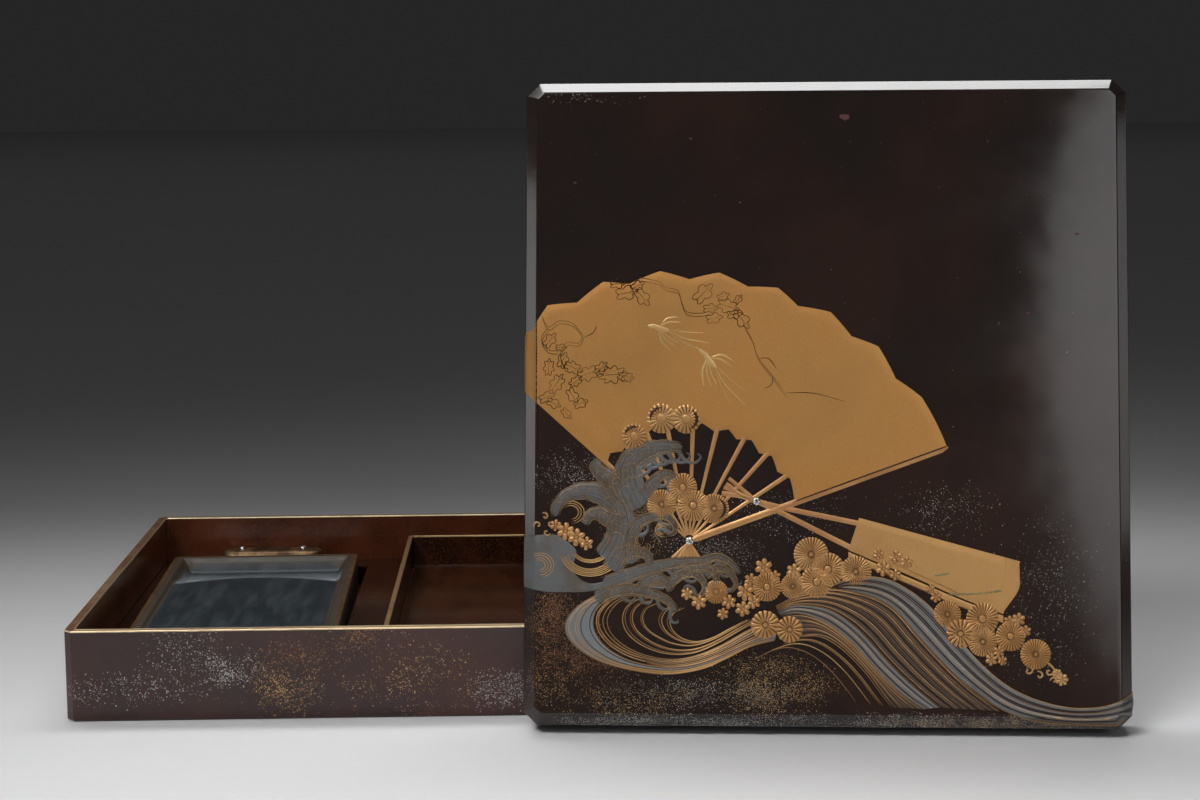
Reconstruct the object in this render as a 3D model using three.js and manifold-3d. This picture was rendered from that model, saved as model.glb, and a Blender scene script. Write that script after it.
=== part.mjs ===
// A lacquered writing box: an open box with an inkstone and a water dropper set in a fitted base board,
// a brush tray beside them, and the box's lid stood on its rim and leaning on the front wall.
// Millimetres, +Z up, +X right, +Y away from the user. The origin is the centre of the box's underside.
import * as THREE from "three";
import { mergeVertices } from "three/addons/utils/BufferGeometryUtils.js";
import Module from "manifold-3d";

const wasm = await Module();
wasm.setup();

// Driving dimensions

const box = {
  width: 221,
  depth: 238,
  height: 36,
  wall: 3.8,
  floor: 6,
  cornerCut: 3, // leg of the 45 degree cut down each upright corner
  footBevel: 0.8, // small bevel round the underside
};

const lid = {
  wall: 3,
  clearance: 0.5, // between the lid's walls and the box's, all round
  depth: 24, // from the rim to the edge of the face
  plate: 4,
  bevel: 4.5, // width and height of the bevel round the face
  crown: 1.6, // how far the face swells at its centre
  lean: THREE.MathUtils.degToRad(11.5), // back from upright
  turn: THREE.MathUtils.degToRad(-4.5), // right side towards the user
  overlap: 40.5, // how far it stands in front of the box's right end
  restGap: 0.3, // left between its rim and the box's wall
  sideSteps: 6,
  crownSteps: 7,
};

const tray = {
  left: 120.5, // its outer left side, from the box's outer left side
  height: 17.3,
  wall: 2,
  floor: 2.5,
  cornerCut: 1.5,
  clearance: 0.8,
  runner: 3, // height of the two runners under its floor
  runnerWidth: 8,
  runnerInset: 22,
};

const board = {
  thickness: 5.1,
  batten: 3.9, // height of the two battens under it
  battenWidth: 8,
  clearance: 0.4,
};

const stone = {
  width: 86.5,
  length: 152,
  height: 15.5,
  turn: THREE.MathUtils.degToRad(1.2), // it lies a little askew in its well
  cornerRadius: 3,
  rim: 4.2,
  bank: 1.6, // width of the slope inside the rim
  landDrop: 1.3, // the grinding face, below the rim
  poolDrop: 6.6, // the deepest part of the ink pool, below the rim
  poolLength: 56, // from the far rim to the shore's two ends
  shoreBulge: 14, // how far the middle of the shore runs into the pool
  farBank: 6, // width of the slope at the pool's far end
  sideBank: 4.8, // width of the slopes at the pool's sides
  leftStrip: 5.6, // board left between its well and the box's left wall
  wellSlack: 1.1, // room round it in the well, each side
  columns: 14,
  landRows: 12,
  poolRows: 16,
};

const dropper = {
  length: 49,
  width: 13.6,
  height: 16.3,
  shoulder: 3.4, // height and inset of the rounded shoulder
  wall: 1.2,
  holeRadius: 1,
  holeSpacing: 29,
  wellSlack: 0.6,
  backStrip: 2.2, // board left behind its well
  frontStrip: 1.2, // board left between its well and the inkstone's
  arcSteps: 10,
  shoulderSteps: 4,
};

const eyelet = { wall: 0.8, height: 1.1, taper: 0.3, steps: 20 };

const least = { cut: 0.1, straight: 0.01, weld: 1e-4 }; // smallest lengths kept so that no outline closes up
const overrun = 2; // how far a cutting tool passes the body that it cuts

// Sizes that follow from the driving ones, seen from the centre of the box

const cutGrowth = 2 - Math.SQRT2; // a corner cut's leg grows by this for each millimetre an outline grows
const inner = {
  width: box.width - 2 * box.wall,
  depth: box.depth - 2 * box.wall,
  cut: Math.max(least.cut, box.cornerCut - cutGrowth * box.wall),
};

const lidGrow = lid.wall + lid.clearance;
const lidOuter = {
  width: box.width + 2 * lidGrow,
  depth: box.depth + 2 * lidGrow,
  cut: box.cornerCut + cutGrowth * lidGrow,
};

const trayLeft = tray.left - box.width / 2;
const trayRight = inner.width / 2 - tray.clearance;
const trayOuter = { width: trayRight - trayLeft, depth: inner.depth - 2 * tray.clearance };

const boardLeft = board.clearance - inner.width / 2;
const boardRight = trayLeft - tray.clearance;
const boardBack = inner.depth / 2 - board.clearance;
const boardUnder = box.floor + board.batten;
const boardTop = boardUnder + board.thickness;

const sine = Math.abs(Math.sin(stone.turn));
const cosine = Math.cos(stone.turn);
const stoneWell = {
  width: stone.width * cosine + stone.length * sine + 2 * stone.wellSlack,
  length: stone.length * cosine + stone.width * sine + 2 * stone.wellSlack,
};
const dropperWell = {
  length: dropper.length + 2 * dropper.wellSlack,
  width: dropper.width + 2 * dropper.wellSlack,
};
const dropperY = boardBack - dropper.backStrip - dropperWell.width / 2;
const stoneX = boardLeft + stone.leftStrip + stoneWell.width / 2;
const stoneY = dropperY - dropperWell.width / 2 - dropper.frontStrip - stoneWell.length / 2;

// Outlines and solids

/** A rectangle with its four corners cut at 45 degrees, each side split into equal steps. */
function cutCornerOutline(width, depth, cut, sideSteps = 1) {
  const x = width / 2;
  const y = depth / 2;
  const corners = [
    [x - cut, -y], [x, -y + cut], [x, y - cut], [x - cut, y],
    [-x + cut, y], [-x, y - cut], [-x, -y + cut], [-x + cut, -y],
  ].map(([px, py]) => new THREE.Vector2(px, py));
  return corners.flatMap((corner, i) => {
    const next = corners[(i + 1) % corners.length];
    const isCut = i % 2 === 0;
    const parts = isCut ? 1 : sideSteps;
    return Array.from({ length: parts }, (_, k) => corner.clone().lerp(next, k / parts));
  });
}

/** A rectangle with round ends along X, anticlockwise. */
function roundEndOutline(length, width, arcSteps) {
  const r = width / 2;
  const straight = Math.max(least.straight, length / 2 - r);
  const halfTurn = (centreX, startAngle) =>
    Array.from({ length: arcSteps + 1 }, (_, k) => {
      const a = startAngle + (Math.PI * k) / arcSteps;
      return new THREE.Vector2(centreX + r * Math.cos(a), r * Math.sin(a));
    });
  return [...halfTurn(straight, -Math.PI / 2), ...halfTurn(-straight, Math.PI / 2)];
}

/** A rectangle with round corners. */
function roundCornerShape(width, length, radius) {
  const x = width / 2;
  const y = length / 2;
  const shape = new THREE.Shape();
  shape.moveTo(-x + radius, -y).lineTo(x - radius, -y);
  shape.absarc(x - radius, -y + radius, radius, -Math.PI / 2, 0);
  shape.lineTo(x, y - radius).absarc(x - radius, y - radius, radius, 0, Math.PI / 2);
  shape.lineTo(-x + radius, y).absarc(-x + radius, y - radius, radius, Math.PI / 2, Math.PI);
  shape.lineTo(-x, -y + radius).absarc(-x + radius, -y + radius, radius, Math.PI, 1.5 * Math.PI);
  return shape;
}

/** Raises an outline to a ring of 3-D points: z is a number or a function of x and y. */
function ring(outline, z, scale = 1) {
  return outline.map((p) => {
    const x = p.x * scale;
    const y = p.y * scale;
    return new THREE.Vector3(x, y, typeof z === "function" ? z(x, y) : z);
  });
}

/** A closed skin through rings of equal count, from a start point to an end point on the axis. */
function skin(start, rings, end) {
  const n = rings[0].length;
  const points = [start, ...rings.flat(), end];
  const last = points.length - 1;
  const faces = [];
  for (let i = 0; i < n; i++) {
    const j = (i + 1) % n;
    faces.push(0, 1 + j, 1 + i);
    for (let r = 0; r + 1 < rings.length; r++) {
      const [a, b] = [1 + r * n + i, 1 + r * n + j];
      faces.push(a, b, b + n, a, b + n, a + n);
    }
    const base = 1 + (rings.length - 1) * n;
    faces.push(last, base + i, base + j);
  }
  const geometry = new THREE.BufferGeometry().setFromPoints(points);
  geometry.setIndex(faces);
  return geometry;
}

/** A shape extruded up from z. */
function slab(shape, z, height) {
  const geometry = new THREE.ExtrudeGeometry(shape, { depth: height, bevelEnabled: false, curveSegments: 6 });
  return geometry.translate(0, 0, z);
}

/** A block from its centre in plan, its foot and its size. */
function block(x, y, z, width, depth, height) {
  return new THREE.BoxGeometry(width, depth, height).translate(x, y, z + height / 2);
}

/** A round bar standing on z. */
function upright(x, z, radius, height) {
  return new THREE.CylinderGeometry(radius, radius, height, eyelet.steps)
    .rotateX(Math.PI / 2)
    .translate(x, 0, z + height / 2);
}

function solid(geometry) {
  const bare = geometry.clone();
  bare.deleteAttribute("normal");
  bare.deleteAttribute("uv");
  const merged = mergeVertices(bare, least.weld);
  return new wasm.Manifold(
    new wasm.Mesh({
      numProp: 3,
      vertProperties: merged.attributes.position.array,
      triVerts: new Uint32Array(merged.index.array),
    }),
  );
}

function geometryOf(manifold) {
  const mesh = manifold.getMesh();
  const geometry = new THREE.BufferGeometry();
  geometry.setAttribute("position", new THREE.BufferAttribute(mesh.vertProperties, 3));
  geometry.setIndex(new THREE.BufferAttribute(mesh.triVerts, 1));
  return geometry;
}

function joined(...geometries) {
  return geometries.map(solid).reduce((sum, next) => sum.add(next));
}

function finish(color, roughness, metalness = 0) {
  return new THREE.MeshStandardMaterial({ color, roughness, metalness });
}

function named(name, geometry, material) {
  geometry.computeVertexNormals();
  const mesh = new THREE.Mesh(geometry, material);
  mesh.name = name;
  return mesh;
}

// Finishes

const blackLacquer = finish(0x1a1310, 0.15);
const brownLacquer = finish(0x3a1c14, 0.2);
const slate = finish(0x2b3740, 0.45);
const bronze = finish(0x6f5a3c, 0.4, 0.8);
const silver = finish(0xd8d8d4, 0.3, 1);

// The pieces

/** The open box: cut corners, straight walls, a flat rim and a flat underside. */
function boxBody() {
  const foot = cutCornerOutline(
    box.width - 2 * box.footBevel,
    box.depth - 2 * box.footBevel,
    box.cornerCut - cutGrowth * box.footBevel,
  );
  const outside = cutCornerOutline(box.width, box.depth, box.cornerCut);
  const inside = cutCornerOutline(inner.width, inner.depth, inner.cut);
  const rings = [
    ring(foot, 0),
    ring(outside, box.footBevel),
    ring(outside, box.height),
    ring(inside, box.height),
    ring(inside, box.floor),
  ];
  return skin(new THREE.Vector3(0, 0, 0), rings, new THREE.Vector3(0, 0, box.floor));
}

/** The lid as it lies on the box: rim at z = 0, bevelled edge, and a face that swells to its centre. */
function lidShell() {
  const { width, depth, cut } = lidOuter;
  const outline = (inset) =>
    cutCornerOutline(
      width - 2 * inset,
      depth - 2 * inset,
      Math.max(least.cut, cut - cutGrowth * inset),
      lid.sideSteps,
    );
  const swell = (inset, z) => (x, y) => {
    const across = x / (width / 2 - inset);
    const along = y / (depth / 2 - inset);
    return z + lid.crown * (1 - across * across) * (1 - along * along);
  };
  const face = swell(lid.bevel, lid.depth);
  const ceiling = swell(lid.wall, lid.depth - lid.plate);
  const shrink = Array.from({ length: lid.crownSteps }, (_, k) => 1 - k / lid.crownSteps);
  const rings = [
    ...shrink.map((s) => ring(outline(lid.wall), ceiling, s)).reverse(),
    ring(outline(lid.wall), 0),
    ring(outline(0), 0),
    ring(outline(0), lid.depth - lid.bevel),
    ...shrink.map((s) => ring(outline(lid.bevel), face, s)),
  ];
  return skin(new THREE.Vector3(0, 0, ceiling(0, 0)), rings, new THREE.Vector3(0, 0, face(0, 0)));
}

/** Stands the lid on the rim of its lower wall, leaning back on the box's front wall. */
function standLid(mesh) {
  const rise = lidOuter.depth / 2;
  const leaned = new THREE.Group();
  leaned.rotation.x = Math.PI / 2 - lid.lean;
  leaned.add(mesh);
  const turned = new THREE.Group();
  turned.rotation.z = lid.turn;
  turned.add(leaned);
  // The lid's left rim meets the top edge of the box's front wall.
  const upRim = box.height / Math.cos(lid.lean) - rise;
  const rimBack = upRim * Math.sin(lid.lean) * Math.cos(lid.turn) - (lidOuter.width / 2) * Math.sin(lid.turn);
  turned.position.set(
    box.width / 2 - lid.overlap + lidOuter.width / 2,
    -box.depth / 2 - lid.restGap - rimBack,
    rise * Math.cos(lid.lean),
  );
  return turned;
}

/** The board that the inkstone and the dropper are let into, on two battens. */
function baseBoard() {
  const width = boardRight - boardLeft;
  const centreX = (boardLeft + boardRight) / 2;
  const outline = new THREE.Shape(cutCornerOutline(width, 2 * boardBack, inner.cut));
  const plate = slab(outline, boardUnder, board.thickness).translate(centreX, 0, 0);
  const battenY = boardBack - inner.cut - board.battenWidth / 2;
  const battens = [-1, 1].map((side) =>
    block(centreX, side * battenY, box.floor, width - 2 * inner.cut, board.battenWidth, board.batten),
  );
  const below = box.floor - board.thickness;
  const through = boardTop + board.thickness - below;
  const stoneHole = block(stoneX, stoneY, below, stoneWell.width, stoneWell.length, through);
  const roundEnds = roundEndOutline(dropperWell.length, dropperWell.width, dropper.arcSteps);
  const dropperHole = slab(new THREE.Shape(roundEnds), below, through).translate(stoneX, dropperY, 0);
  return geometryOf(joined(plate, ...battens).subtract(solid(stoneHole)).subtract(solid(dropperHole)));
}

/** Even steps from one value to another, both included. */
function steps(from, to, count) {
  return Array.from({ length: count + 1 }, (_, k) => THREE.MathUtils.lerp(from, to, k / count));
}

/** Where the inkstone's shore lies: an arc whose middle runs into the pool. */
function shoreY(x) {
  const across = x / (stone.width / 2 - stone.rim);
  return stone.length / 2 - stone.rim - stone.poolLength + stone.shoreBulge * (1 - across * across);
}

/** How far the inkstone's top lies below its rim: a bank, a flat grinding face, then the ink pool. */
function stoneDrop(x, y) {
  const fromSide = stone.width / 2 - stone.rim - Math.abs(x);
  const fromEnd = stone.length / 2 - stone.rim - Math.abs(y);
  const fromRim = Math.min(fromSide, fromEnd);
  if (fromRim < least.weld) return 0;
  const { smoothstep } = THREE.MathUtils;
  const poolMiddle = shoreY(x) + 0.5 * (stone.length / 2 - stone.rim - shoreY(x));
  const down = smoothstep(y, shoreY(x), poolMiddle);
  const walls = smoothstep(fromSide, 0, stone.sideBank) * smoothstep(fromEnd, 0, stone.farBank);
  return smoothstep(fromRim, 0, stone.bank) * stone.landDrop + (stone.poolDrop - stone.landDrop) * down * walls;
}

/** The inkstone: a slate block with a raised rim, a grinding face and a pool at its far end. */
function inkstone() {
  const halfX = stone.width / 2;
  const halfY = stone.length / 2;
  const edge = [0, stone.rim, stone.rim + stone.bank / 2, stone.rim + stone.bank];
  const landX = halfX - stone.rim - stone.bank;
  const xs = [...edge.map((e) => e - halfX), ...steps(-landX, landX, stone.columns).slice(1, -1)];
  xs.push(...edge.map((e) => halfX - e).reverse());
  // Each column has the same rows: near edge, land up to the shore, pool up to the far edge.
  const nearY = stone.rim + stone.bank - halfY;
  const rowsAt = (x) => [
    ...edge.map((e) => e - halfY),
    ...steps(nearY, shoreY(x), stone.landRows).slice(1),
    ...steps(shoreY(x), -nearY, stone.poolRows).slice(1, -1),
    ...edge.map((e) => halfY - e).reverse(),
  ];
  const grid = xs.map((x) => rowsAt(x).map((y) => new THREE.Vector2(x, y)));
  const columns = grid.length;
  const rows = grid[0].length;
  const top = grid.flat().map((p) => new THREE.Vector3(p.x, p.y, stone.height - stoneDrop(p.x, p.y)));
  const under = grid.flat().map((p) => new THREE.Vector3(p.x, p.y, 0));
  const low = columns * rows;
  const at = (i, j) => i * rows + j;
  const faces = [];
  for (let i = 0; i + 1 < columns; i++)
    for (let j = 0; j + 1 < rows; j++) {
      const [a, b, c, d] = [at(i, j), at(i + 1, j), at(i + 1, j + 1), at(i, j + 1)];
      faces.push(a, b, c, a, c, d);
      faces.push(low + a, low + c, low + b, low + a, low + d, low + c);
    }
  const counted = (count, index) => Array.from({ length: count - 1 }, (_, k) => index(k));
  const near = counted(columns, (i) => at(i, 0));
  const right = counted(rows, (j) => at(columns - 1, j));
  const far = counted(columns, (i) => at(columns - 1 - i, rows - 1));
  const left = counted(rows, (j) => at(0, rows - 1 - j));
  const border = [...near, ...right, ...far, ...left];
  border.forEach((a, k) => {
    const b = border[(k + 1) % border.length];
    faces.push(low + a, low + b, b, low + a, b, a);
  });
  const geometry = new THREE.BufferGeometry().setFromPoints([...top, ...under]);
  geometry.setIndex(faces);
  const trim = roundCornerShape(stone.width, stone.length, stone.cornerRadius);
  const outline = slab(trim, -overrun, stone.height + 2 * overrun);
  return geometryOf(solid(geometry).intersect(solid(outline)));
}

/** A loaf with round ends and a rounded shoulder; inset makes the same form smaller all round. */
function loaf(inset) {
  const outline = (extra) =>
    roundEndOutline(
      dropper.length - 2 * (inset + extra),
      dropper.width - 2 * (inset + extra),
      dropper.arcSteps,
    );
  const top = dropper.height - inset;
  const shoulder = steps(0, Math.PI / 2, dropper.shoulderSteps).map((a) =>
    ring(outline(dropper.shoulder * (1 - Math.cos(a))), top - dropper.shoulder * (1 - Math.sin(a))),
  );
  const foot = new THREE.Vector3(0, 0, inset);
  return solid(skin(foot, [ring(outline(0), inset), ...shoulder], new THREE.Vector3(0, 0, top)));
}

/** The water dropper: a thin metal vessel, filled and poured through two small holes in its top. */
function dropperVessel() {
  const drillFrom = dropper.height - 2 * dropper.wall;
  const holes = [-1, 1].map((side) =>
    solid(upright((side * dropper.holeSpacing) / 2, drillFrom, dropper.holeRadius, 3 * dropper.wall)),
  );
  return geometryOf(holes.reduce((left, hole) => left.subtract(hole), loaf(0).subtract(loaf(dropper.wall))));
}

/** The small silver ring round each of the dropper's holes. */
function eyeletRing() {
  const outer = dropper.holeRadius + eyelet.wall;
  const profile = [
    [dropper.holeRadius, 0],
    [outer, 0],
    [outer, eyelet.height / 2],
    [outer - eyelet.taper, eyelet.height],
    [dropper.holeRadius, eyelet.height],
    [dropper.holeRadius, 0],
  ].map(([r, z]) => new THREE.Vector2(r, z));
  return new THREE.LatheGeometry(profile, eyelet.steps).rotateX(Math.PI / 2);
}

/** The brush tray: a shallow box with thin walls, on two runners. */
function brushTray() {
  const { width, depth } = trayOuter;
  const insideCut = Math.max(least.cut, tray.cornerCut - cutGrowth * tray.wall);
  const outside = cutCornerOutline(width, depth, tray.cornerCut);
  const inside = cutCornerOutline(width - 2 * tray.wall, depth - 2 * tray.wall, insideCut);
  const bottom = box.floor + tray.runner;
  const rings = [
    ring(outside, bottom),
    ring(outside, bottom + tray.height),
    ring(inside, bottom + tray.height),
    ring(inside, bottom + tray.floor),
  ];
  const dish = skin(new THREE.Vector3(0, 0, bottom), rings, new THREE.Vector3(0, 0, bottom + tray.floor));
  const runnerY = depth / 2 - tray.runnerInset;
  const runners = [-1, 1].map((side) =>
    block(0, side * runnerY, box.floor, width - 2 * tray.cornerCut, tray.runnerWidth, tray.runner),
  );
  return geometryOf(joined(dish, ...runners));
}

// The writing box

const writingBox = new THREE.Group();

writingBox.add(named("box_body", boxBody(), blackLacquer));

writingBox.add(standLid(named("lid", lidShell(), blackLacquer)));

writingBox.add(named("base_board", baseBoard(), brownLacquer));

const stoneMesh = named("inkstone", inkstone(), slate);
stoneMesh.position.set(stoneX, stoneY, box.floor);
stoneMesh.rotation.z = stone.turn;
writingBox.add(stoneMesh);

const dropperGroup = new THREE.Group();
dropperGroup.position.set(stoneX, dropperY, box.floor);
dropperGroup.add(named("water_dropper", dropperVessel(), bronze));
for (const [side, name] of [[-1, "dropper_eyelet_left"], [1, "dropper_eyelet_right"]]) {
  const ringMesh = named(name, eyeletRing(), silver);
  ringMesh.position.set((side * dropper.holeSpacing) / 2, 0, dropper.height);
  dropperGroup.add(ringMesh);
}
writingBox.add(dropperGroup);

const trayMesh = named("brush_tray", brushTray(), brownLacquer);
trayMesh.position.x = (trayLeft + trayRight) / 2;
writingBox.add(trayMesh);

export default writingBox;
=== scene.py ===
"""Dresses the lacquer writing box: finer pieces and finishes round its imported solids.

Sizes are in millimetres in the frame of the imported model: +Z up, +X right, +Y away from the user, and
the origin under the middle of the open box. Meshes are written in metres.
"""

import sys
import logging
import math
from dataclasses import dataclass, field
from enum import Enum
from typing import Callable, Sequence

import bmesh
import bpy
import numpy as np
from mathutils import Euler, Matrix


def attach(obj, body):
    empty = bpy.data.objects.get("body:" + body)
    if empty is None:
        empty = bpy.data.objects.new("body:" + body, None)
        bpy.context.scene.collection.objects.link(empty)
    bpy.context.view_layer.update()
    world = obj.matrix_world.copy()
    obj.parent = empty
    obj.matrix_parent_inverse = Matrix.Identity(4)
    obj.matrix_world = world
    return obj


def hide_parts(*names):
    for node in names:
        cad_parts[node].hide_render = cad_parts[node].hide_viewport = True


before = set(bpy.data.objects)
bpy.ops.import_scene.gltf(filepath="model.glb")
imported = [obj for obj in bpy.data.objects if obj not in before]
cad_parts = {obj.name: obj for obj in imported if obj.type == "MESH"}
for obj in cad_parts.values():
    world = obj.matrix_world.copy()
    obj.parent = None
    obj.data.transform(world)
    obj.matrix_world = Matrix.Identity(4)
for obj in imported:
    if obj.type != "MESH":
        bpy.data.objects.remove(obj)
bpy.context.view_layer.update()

log = logging.getLogger("writing_box")

MM = 0.001
CUT_GROWTH = 2 - math.sqrt(2)
BURIED = -0.10
Socket = bpy.types.NodeSocket
Pair = tuple[float, float]
Triple = tuple[float, float, float]
Line = tuple[Pair, ...]
Chips = tuple[tuple[Triple, float], ...]
Colour = Triple


# Surfaces


@dataclass
class Skin:
    """A closed surface: points in millimetres, faces of four or three corners, and marks on its points."""

    points: np.ndarray
    quads: np.ndarray
    tris: np.ndarray = field(default_factory=lambda: np.zeros((0, 3), int))
    marks: dict[str, np.ndarray] = field(default_factory=dict)

    def volume(self) -> float:
        """Six times the enclosed volume, below zero when the faces point inwards.

        Returns:
            The sum over all its triangles.
        """
        middle = self.points - self.points.mean(axis=0)
        halves = np.concatenate([self.quads[:, :3], self.quads[:, [0, 2, 3]], self.tris])
        a, b, c = (middle[halves[:, k]] for k in range(3))
        return float(np.einsum("ij,ij->i", a, np.cross(b, c)).sum())

    def facing_out(self) -> "Skin":
        """The same surface with its faces pointing outwards."""
        turned = Skin(self.points, self.quads[:, ::-1], self.tris[:, ::-1], self.marks)
        return self if self.volume() >= 0 else turned

    def moved(self, place: Callable[[np.ndarray], np.ndarray]) -> "Skin":
        """The same surface with its points sent through a placing function."""
        return Skin(place(self.points), self.quads, self.tris, self.marks)

    def marked(self, name: str, values: np.ndarray | float) -> "Skin":
        """The same surface with one more mark on every point.

        Args:
            name: name of the attribute that the finish reads.
            values: one number for all points, or an array with a row for each point.

        Returns:
            The marked surface.
        """
        given = np.asarray(values, float)
        whole = np.full(len(self.points), float(given)) if given.ndim == 0 else given
        return Skin(self.points, self.quads, self.tris, {**self.marks, name: whole})


def joined(skins: Sequence[Skin]) -> Skin:
    """Several surfaces as one, with the marks that all of them have.

    Args:
        skins: surfaces in any order.

    Returns:
        One surface.
    """
    shared = set.intersection(*(set(s.marks) for s in skins))
    starts = np.cumsum([0] + [len(s.points) for s in skins[:-1]])
    return Skin(
        np.concatenate([s.points for s in skins]),
        np.concatenate([s.quads + start for s, start in zip(skins, starts)]),
        np.concatenate([s.tris + start for s, start in zip(skins, starts)]),
        {name: np.concatenate([s.marks[name] for s in skins]) for name in sorted(shared)},
    )


def grid_faces(rows: int, columns: int, wrap_rows: bool = False, wrap_columns: bool = False) -> np.ndarray:
    """Corner numbers of the faces between the points of a grid.

    Args:
        rows: number of rows of points.
        columns: number of points in a row.
        wrap_rows: whether the last row joins the first.
        wrap_columns: whether the end of each row joins its start.

    Returns:
        An array with four corner numbers for each face.
    """
    index = np.arange(rows * columns).reshape(rows, columns)
    if wrap_columns:
        index = np.concatenate([index, index[:, :1]], axis=1)
    if wrap_rows:
        index = np.concatenate([index, index[:1]], axis=0)
    corners = [index[:-1, :-1], index[:-1, 1:], index[1:, 1:], index[1:, :-1]]
    return np.stack(corners, axis=-1).reshape(-1, 4)


def closing_fan(start: int, around: int, tip: int) -> np.ndarray:
    """Corner numbers of the triangles between a ring, from its first point on, and the tip that closes it."""
    first = np.arange(around)
    return np.stack([start + first, start + np.roll(first, -1), np.full(around, tip)], axis=1)


def vessels(rings: np.ndarray, start: np.ndarray, end: np.ndarray) -> Skin:
    """A family of closed surfaces through rings of equal count, each closed by a point at both ends.

    Args:
        rings: array of surfaces, rings, points and coordinates.
        start: the point that closes the first ring of each surface.
        end: the point that closes the last ring of each surface.

    Returns:
        All of them as one surface, facing outwards.
    """
    family, count, around = rings.shape[:3]
    size = count * around + 2
    closing = np.stack([start, end], axis=1)
    points = np.concatenate([rings.reshape(family, -1, 3), closing], axis=1)
    low = closing_fan(0, around, size - 2)[:, [1, 0, 2]]
    high = closing_fan((count - 1) * around, around, size - 1)
    shift = (size * np.arange(family))[:, None, None]
    quads = grid_faces(count, around, wrap_columns=True)[None] + shift
    tris = np.concatenate([low, high])[None] + shift
    return Skin(points.reshape(-1, 3), quads.reshape(-1, 4), tris.reshape(-1, 3)).facing_out()


def vessel(rings: np.ndarray, start: np.ndarray, end: np.ndarray) -> Skin:
    """One closed surface through rings, with a point that closes it at each end."""
    return vessels(rings[None], np.array([start]), np.array([end]))


def hoop(rings: np.ndarray) -> Skin:
    """A closed band: rings round the piece, the last of which meets the first."""
    count, around = rings.shape[:2]
    return Skin(rings.reshape(-1, 3), grid_faces(count, around, True, True)).facing_out()


def slabs(top: np.ndarray, bottom: np.ndarray) -> Skin:
    """Closed plates: a family of grids over grids of the same shape, joined round their borders.

    Args:
        top: array of plates, rows, columns and coordinates.
        bottom: the same for the undersides.

    Returns:
        All plates as one surface, facing outwards.
    """
    count, rows, columns = top.shape[:3]
    size = rows * columns
    index = np.arange(size).reshape(rows, columns)
    face = grid_faces(rows, columns)
    sides = [index[0, :-1], index[:-1, -1], index[-1, :0:-1], index[:0:-1, 0]]
    border = np.concatenate(sides)
    after = np.roll(border, -1)
    edge = np.stack([after, border, border + size, after + size], axis=1)
    one = np.concatenate([face, face[:, ::-1] + size, edge])
    quads = (one[None] + (2 * size * np.arange(count))[:, None, None]).reshape(-1, 4)
    points = np.concatenate([top.reshape(count, size, 3), bottom.reshape(count, size, 3)], axis=1)
    return Skin(points.reshape(-1, 3), quads).facing_out()


def both_sides(values: np.ndarray) -> np.ndarray:
    """Marks for slabs: the values of each plate's top points, repeated for its underside."""
    flat = values.reshape(len(values), -1)
    return np.concatenate([flat, flat], axis=1).ravel()


def softened(corners: Sequence[Pair], soft: Sequence[float], steps: int = 4) -> np.ndarray:
    """Rounds a run of straight lines: each inner corner becomes a short curve set back along its lines.

    Args:
        corners: the run's points.
        soft: for each inner corner, how far from it the curve starts and ends.
        steps: parts of each curve.

    Returns:
        The rounded run, with a point just before and just after every curve to keep the flats flat.
    """
    run = np.array(corners, float)
    share = np.linspace(0, 1, steps + 1)[:, None]
    parts = [run[:1]]
    for before, corner, after, reach in zip(run, run[1:], run[2:], soft):
        a = (corner - before) / np.linalg.norm(corner - before)
        b = (after - corner) / np.linalg.norm(after - corner)
        curve = corner - a * reach * (1 - share) ** 2 + b * reach * share**2
        guard = 0.35 * reach + 0.05
        parts += [curve[:1] - a * guard, curve, curve[-1:] + b * guard]
    return np.concatenate([*parts, run[-1:]])


def raised(loops: np.ndarray, heights: np.ndarray) -> np.ndarray:
    """Flat loops set at their heights, as rings in space."""
    return np.concatenate([loops, np.broadcast_to(heights[:, None, None], (*loops.shape[:2], 1))], axis=2)


@dataclass(frozen=True)
class CutRectangle:
    """A rectangle with its corners cut at 45 degrees, about the origin, with softened corners."""

    half_width: float
    half_depth: float
    cut: float
    soft: float = 0.3
    side_steps: int = 1

    def loops(self, inset: np.ndarray | float = 0.0) -> np.ndarray:
        """The outline moved inwards by each inset. A corner moves along its mitre, so the cut gets shorter.

        Args:
            inset: how far inwards, one value for each loop.

        Returns:
            Array of loops, points and two coordinates, anticlockwise.
        """
        d = np.atleast_1d(np.asarray(inset, float))
        x = self.half_width - d
        y = self.half_depth - d
        c = np.maximum(self.cut - CUT_GROWTH * d, 2 * self.soft + 0.15)
        corners = np.stack(
            [
                np.stack(pair, axis=-1)
                for pair in (
                    (x, c - y), (x, y - c), (x - c, y), (c - x, y),
                    (-x, y - c), (-x, c - y), (c - x, -y), (x - c, -y),
                )
            ],
            axis=1,
        )
        outline = corners[0]
        ahead = np.roll(outline, -1, axis=0) - outline
        ahead /= np.linalg.norm(ahead, axis=1, keepdims=True)
        behind = np.roll(ahead, 1, axis=0)
        share = np.linspace(0, 1, 4)[None, :, None]
        curve = -behind[:, None] * self.soft * (1 - share) ** 2 + ahead[:, None] * self.soft * share**2
        guard = 0.15
        offsets = np.concatenate(
            [curve[:, :1] - guard * behind[:, None], curve, curve[:, -1:] + guard * ahead[:, None]], axis=1
        )
        near = corners[:, :, None] + offsets[None]
        along = (np.arange(1, self.side_steps) / self.side_steps)[None, :, None]
        parts = []
        for k in range(8):
            parts.append(near[:, k])
            if k % 2 == 0 and self.side_steps > 1:
                start, end = near[:, k, -1:], near[:, (k + 1) % 8, :1]
                parts.append(start * (1 - along) + end * along)
        return np.concatenate(parts, axis=1)

    def rings(self, profile: np.ndarray) -> np.ndarray:
        """The outline carried along a profile of inset and height, as rings in space."""
        return raised(self.loops(profile[:, 0]), profile[:, 1])


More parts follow.
